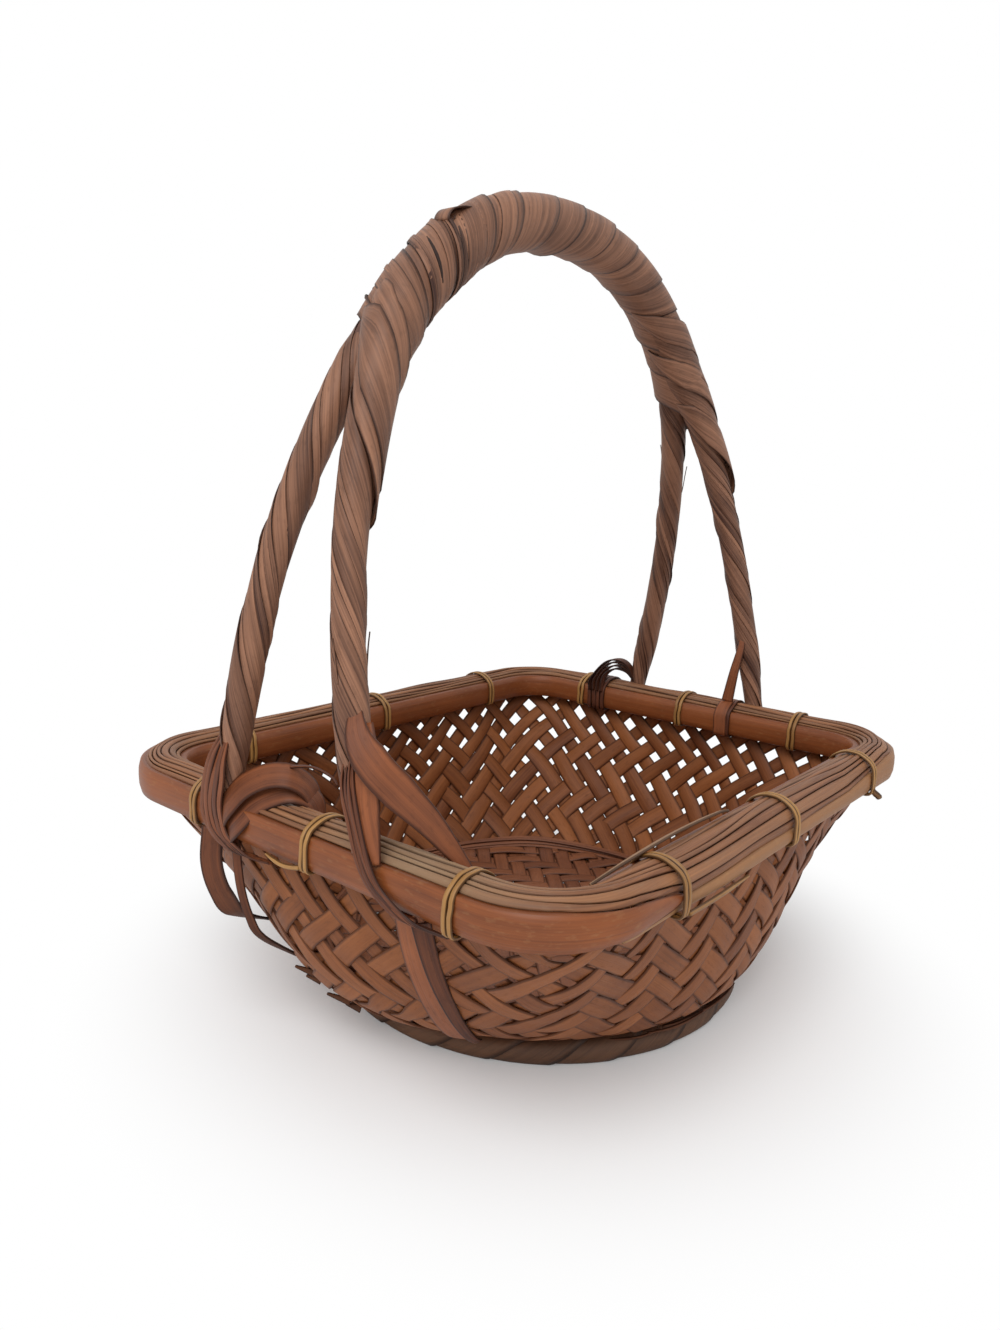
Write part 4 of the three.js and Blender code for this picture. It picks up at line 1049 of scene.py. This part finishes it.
def lash_left(foot, count, pitch, stops, fan, uneven, wide, tones):
    """Strips from a left leg over the rim; `fan` is each stop's share in the shift between strips."""
    lashing = Bundle()
    for k in range(count):
        shift = (k - (count - 1) / 2) * pitch
        shifted = np.array(stops) + np.outer(fan, (shift, 0, 0))
        line = smooth_line(by_side("left", shifted + chance.normal(0, uneven, shifted.shape)), 70)
        tone = chance.uniform(*tones)
        lashing.strip(line, round_rim("left", line), wide * lash_taper, 0.8, tone, sink=-0.25 * (k % 2))
    lashing.piece(f"lashing_left_{foot}", lash_bamboo, "wrap_strip", f"foot_lashing_left_{foot}")


back_stops = [(31, -5.5, 146), (33, -2.0, 134), (35.5, 1.6, 123), (38.5, 2.4, 113), (41, 1.7, 104),
              (41.5, 1.0, 97), (38, 0.8, 90.5), (29, 0.2, 87), (17, -2.2, 86.3)]
front_stops = [(-31.5, -5.5, 151), (-34.5, -1.2, 139), (-36.8, 1.9, 127.5), (-40.4, 2.4, 116),
               (-45.3, 2.1, 103), (-51.3, 1.3, 95.3), (-62.5, 0.8, 90.4), (-76, -2.2, 88.8)]
lash_left("back", 5, 2.9, back_stops, fan=[0.2, 0.35, 0.6, 0.9, 1, 1, 1, 1, 1], uneven=0.18, wide=3.0,
          tones=(0.1, 0.6))
lash_left("front", 4, 1.8, front_stops, fan=[0.3, 0.6, 1, 1, 1, 1, 1, 1], uneven=0.15, wide=2.2,
          tones=(0.0, 0.4))

lash_right_back = Bundle()
over_rim(lash_right_back, "right", [52.0, 55.0, 58.0, 61.2], 2.9, tone=0.12)
lash_right_back.piece("lashing_right_back", lash_bamboo, "wrap_strip", "foot_lashing_right_back")
lash_right_front = Bundle()
over_rim(lash_right_front, "right", [-26.8], 8.0, tone=0.6)
over_rim(lash_right_front, "right", [-31.6], 2.0, tone=0.05)
lash_right_front.piece("strap_right_front", lash_bamboo, "wrap_strip", "foot_lashing_right_front")

# %% [markdown]
# ## Strips at the left front foot
# The broad ends of the wrapping strips are tucked away at the feet. Here one is braced inside the rim, one
# lies down over the rim, and a tail is led down the outside of the wall to the base ring. The tail lies on
# the wall's own surface, so its line is given by bearing and turn, and a second strip makes its folded edge.

# %% Strips at the left front foot
brace = Bundle()
line = smooth_line([(-143.5, -30.5, 156), (-149.4, -38.0, 145), (-148.6, -45.5, 136), (-144.2, -52, 128),
                    (-137.5, -61, 117), (-131.5, -69.5, 104.5), (-129, -74, 98)], 60)
width = np.interp(line[:, 2], [98, 104, 117, 128, 139, 156], [2.5, 4.5, 9.0, 12.5, 12.0, 2.0])
brace.strip(line, (-0.6, -0.5, 0.62), width, tone=0.5)
line = smooth_line([(-144.0, -35.0, 147), (-147.2, -39.5, 139), (-149.6, -41.8, 131), (-150.6, -43.4, 122),
                    (-150.8, -46.2, 113), (-150.3, -48.6, 104)], 50)
width = np.interp(line[:, 2], [104, 113, 122, 131, 147], [3.0, 7.0, 10.5, 11.0, 7.0])
brace.strip(line, (-0.9, -0.42, 0.1), width, tone=0.72)
brace.piece("brace_left_front_strips", lash_bamboo, "wrap_strip", "brace_left_front")

tail = Bundle()
tail_stops = [(203.2, 14), (203.0, 30), (202.0, 52), (201.0, 70), (200.5, 86)]
angle, rise = np.radians(smooth_line(tail_stops, 60)).T
facing = facing_of(wall_at, angle, rise, 0, 0.002, 0.002)
line = wall_at(angle, rise, -0.6)
tail.strip(line, facing, np.linspace(9.0, 10.5, 60), tone=0.85, sink=0.0)
aside = unit(np.cross(np.gradient(line, axis=0), facing))
turned = line + np.linspace(5.2, 7.6, 60)[:, None] * aside + 1.1 * facing
# The folded edge is given a dark tone: painted shade on its turned side.
tail.strip(turned, unit(0.75 * facing + 0.65 * aside), np.linspace(2.4, 7.0, 60), 0.8, tone=0.12)
tail.piece("tail_left_front_strip", lash_bamboo, "wrap_strip", "tail_left_front")

# %% [markdown]
# ## Strips at the left back foot
# Two broad strips are looped over the rim beside this foot, and two loops hang below it. A loop lies on
# nothing, so its line is given as points by the side of the rim, with the directions in which its face
# turns.

# %% Strips at the left back foot
rim_loops = {1: ((38, 0.0, 98), (31.8, 1.0, 104.6), (26.7, -2.6, 111.6), (18.8, -7, 116.4),
                 (11.5, -12, 116.9), (7.8, -17.5, 112), (6.5, -21.0, 103)),
             2: ((34, -0.4, 92.5), (27.1, 0.8, 98.4), (22.4, -3.0, 105.2), (16.0, -7.5, 109.8),
                 (9.8, -12.5, 111.4), (6.2, -18.5, 107.4), (5.0, -21.2, 99))}
turned = np.array([(-1.0, 0.1, 0.25), (-0.8, -0.15, 0.55), (-0.4, -0.4, 0.8), (0.25, -0.6, 0.7)])
turned = unit(interp_rows(np.linspace(0, 1, 50), [0, 0.4, 0.72, 1], turned))
for number, stops in rim_loops.items():
    loop = Bundle()
    line = smooth_line(by_side("left", stops), 50)
    # The lower loop is given a darker tone, painted shade under the upper loop.
    loop.strip(line, turned, 11.0, tone=0.6 - 0.15 * number)
    if number == 1:
        line = smooth_line([(-137, 24, 117), (-136, 13, 119.8), (-135, 2, 121.8), (-134.5, -7.5, 120.4),
                            (-134.5, -11, 117.8)], 40)
        loop.strip(line, (-0.5, -0.3, 0.8), np.linspace(2.2, 0.8, 40), 0.7, tone=0.2)
    node_name = f"rim_loop_left_back_{number}"
    loop.piece(node_name + "_strip", lash_bamboo, "wrap_strip", node_name)

hanging = {1: ([(47, -2.3, 90.2), (46, -0.5, 76.5), (43, -2.2, 64.6), (38, -7, 55.5)], (162, 55), 9.0),
           2: ([(32.5, -2.3, 90.2), (32, -3.8, 70.5), (31, -7, 56.5), (28, -10.8, 47.4)], (167.5, 42), 3.6)}
for number, (stops, tuck, wide) in hanging.items():
    loop = Bundle()
    line = smooth_line(np.vstack([by_side("left", stops), wall_at(*np.radians(tuck), 1.5)]), 44)
    width = wide * np.interp(np.linspace(0, 1, 44), [0, 0.75, 1], [1, 1, 0.4])
    facing = unit(np.cross(np.gradient(line, axis=0), (0.6, -0.8, 0)))
    # Each hanging loop is mixed darker towards where it goes into the wall: painted shade.
    loop.strip(line, facing, width, tone=0.3, soil=np.linspace(0.0, 0.8, 44))
    node_name = f"hanging_loop_left_back_{number}"
    loop.piece(node_name + "_strip", lash_bamboo, "wrap_strip", node_name)

# %% [markdown]
# ## Strips at the right feet
# At the right back foot a strip in four layers is looped over the rim from inside, each layer standing
# higher than the last. At the right front foot a strip slants from the leg down to the top of the rim.

# %% Strips at the right feet
loop = Bundle()
for k, grow in enumerate((0.0, 2.0, 4.0, 5.6)):
    foot = 52.5 + 2.7 * k
    stops = [(foot, -20.9, 101), (foot, -20.6, 107.5), (51 + 0.35 * grow, -18.5, 112.5 + grow),
             (47, -14, 115 + grow), (42, -9.5, 113.5 + 0.7 * grow), (38.0, -5.5, 107.5)]
    line = smooth_line(by_side("right", stops), 44)
    facing = unit(np.cross(np.gradient(line, axis=0), (1.0, 0, 0)))
    loop.strip(line, facing, 5.5, tone=0.08, soil=0.15)
loop.piece("rim_loop_right_back_strips", lash_bamboo, "wrap_strip", "rim_loop_right_back")
brace = Bundle()
line = by_side("right", [(-29.5, -7.5, 152), (-31.2, -11.2, 140), (-29.4, -13.8, 125), (-26.8, -14, 108.2)])
brace.strip(smooth_line(line, 40), (-1, -0.2, 0.2), np.linspace(3.0, 6.5, 40), tone=0.5)
brace.piece("brace_right_front_strip", lash_bamboo, "wrap_strip", "brace_right_front")

# %% [markdown]
# ## What stays from the model
# The rods inside the wrapping and the core of the base ring hardly show. Their solids are right as they are,
# and take a plain grained bamboo whose grain comes from the object's own coordinates.

# %% Rods and base core
core, tree, shader = new_material("core bamboo")
place = node(tree, "ShaderNodeTexCoord").outputs["Object"]
grain = node(tree, "ShaderNodeTexNoise", {"Vector": place, "Scale": 260.0, "Detail": 4.0}).outputs["Fac"]
colour = mix_node(tree, grain, linear(52, 32, 25), linear(112, 70, 52))
bumped = node(tree, "ShaderNodeBump", {"Height": grain, "Strength": 0.3, "Distance": 0.0004})
tree.links.new(colour, shader.inputs["Base Color"])
tree.links.new(bumped.outputs[0], shader.inputs["Normal"])
shader.inputs["Roughness"].default_value = 0.6
for name in ("handle_rod_front", "handle_rod_back", "base_ring_core"):
    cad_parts[name].data.materials.clear()
    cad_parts[name].data.materials.append(core)
print("kept:", core.name)

# %% [markdown]
# ## Camera
# The camera stands close to the front left corner, a little above the rim, with a wide view, as the
# photograph's perspective shows. Its place, aim, roll and lens were fitted to the rim, the base ring and the
# legs.

# %% Camera
def stand(made, right, above, back, place):
    """Places an object at a point in metres, turned by the directions of its own axes."""
    matrix = np.eye(4)
    matrix[:3] = np.column_stack([right, above, back, place])
    made.matrix_world = Matrix(matrix.tolist())


camera_at = np.array([-350.2, -262.4, 229.4])
camera_target = np.array([-219.9, -154.7, 195.5])
camera_roll = math.radians(2.07)
sensor_width, focal_pixels, sensor_pixels = 36.0, 958.76, 1330
ahead = unit(camera_target - camera_at)
right = unit(np.cross(ahead, (0, 0, 1)))
above = np.cross(right, ahead)
right, above = (right * math.cos(camera_roll) + above * math.sin(camera_roll),
                above * math.cos(camera_roll) - right * math.sin(camera_roll))
camera = add_object("camera", bpy.data.cameras.new("camera"))
camera.data.sensor_width = sensor_width
camera.data.lens = sensor_width * focal_pixels / sensor_pixels
camera.data.clip_start, camera.data.clip_end = 0.01, 50.0
stand(camera, right, above, -ahead, camera_at * MM)
bpy.context.scene.camera = camera
print("lens", round(camera.data.lens, 2))

# %% [markdown]
# ## Studio floor
# The floor is a pale plane that fades to white away from the basket, so that no edge of it shows. Only the
# camera sees the fading; for the light it stays plain paper.

# %% Studio floor
floor_mesh = bpy.data.meshes.new("studio_floor")
floor_mesh.from_pydata([(-9, -9, 0), (9, -9, 0), (9, 9, 0), (-9, 9, 0)], [], [(0, 1, 2, 3)])
studio_floor = add_object("studio_floor", floor_mesh)
paper, tree, shader = new_material("pale paper")
shader.inputs["Base Color"].default_value = (0.95, 0.95, 0.955, 1)
shader.inputs["Roughness"].default_value = 0.9
shader.inputs["Specular IOR Level"].default_value = 0.1
place = node(tree, "ShaderNodeTexCoord").outputs["Object"]
distance = node(tree, "ShaderNodeVectorMath", {0: place}, operation="LENGTH").outputs["Value"]
fading = {"Value": distance, "From Min": 0.10, "From Max": 0.22, "To Min": 0.15}
away = node(tree, "ShaderNodeMapRange", fading, interpolation_type="SMOOTHSTEP").outputs[0]
ray = node(tree, "ShaderNodeLightPath")
fade = math_node(tree, "MULTIPLY", away, ray.outputs["Is Camera Ray"])
white = node(tree, "ShaderNodeEmission", {"Color": (1, 1, 1, 1), "Strength": 1.0})
mixed = node(tree, "ShaderNodeMixShader", {0: fade, 1: shader.outputs[0], 2: white.outputs[0]})
tree.links.new(mixed.outputs[0], tree.nodes["Material Output"].inputs["Surface"])
floor_mesh.materials.append(paper)
print("floor:", studio_floor.name)

# %% [markdown]
# ## Light
# The light is a white sky, stronger where the camera or a reflection sees it than where it lights the
# basket, with one large soft lamp as the window.

# %% Light
world = bpy.data.worlds.new("white room")
bpy.context.scene.world = world
world.use_nodes = True
tree = world.node_tree
sky = tree.nodes["Background"]
sky.inputs["Color"].default_value = (1, 1, 1, 1)
ray = node(tree, "ShaderNodeLightPath")
mirrored = math_node(tree, "MAXIMUM", ray.outputs["Is Glossy Ray"], ray.outputs["Is Transmission Ray"])
seen = math_node(tree, "MAXIMUM", ray.outputs["Is Camera Ray"], mirrored)
level = math_node(tree, "ADD", math_node(tree, "MULTIPLY", seen, 0.4), 0.6)
tree.links.new(level, sky.inputs["Strength"])

lamp = add_object("window", bpy.data.lights.new("window", "AREA"))
lamp.data.shape = "DISK"
lamp.data.size, lamp.data.energy = 1.2, 16.0
lamp_at, lamp_target = np.array([-1.1, -0.5, 1.5]), np.array([0, 0, 0.1])
back = unit(lamp_at - lamp_target)
side = unit(np.cross((0.0, 1.0, 0.01), back))
stand(lamp, side, np.cross(back, side), back, lamp_at)
bpy.context.scene.view_settings.view_transform = "Standard"
print("lamp:", lamp.name, lamp.data.energy, "watts")

# %% Finish
bpy.context.view_layer.update()
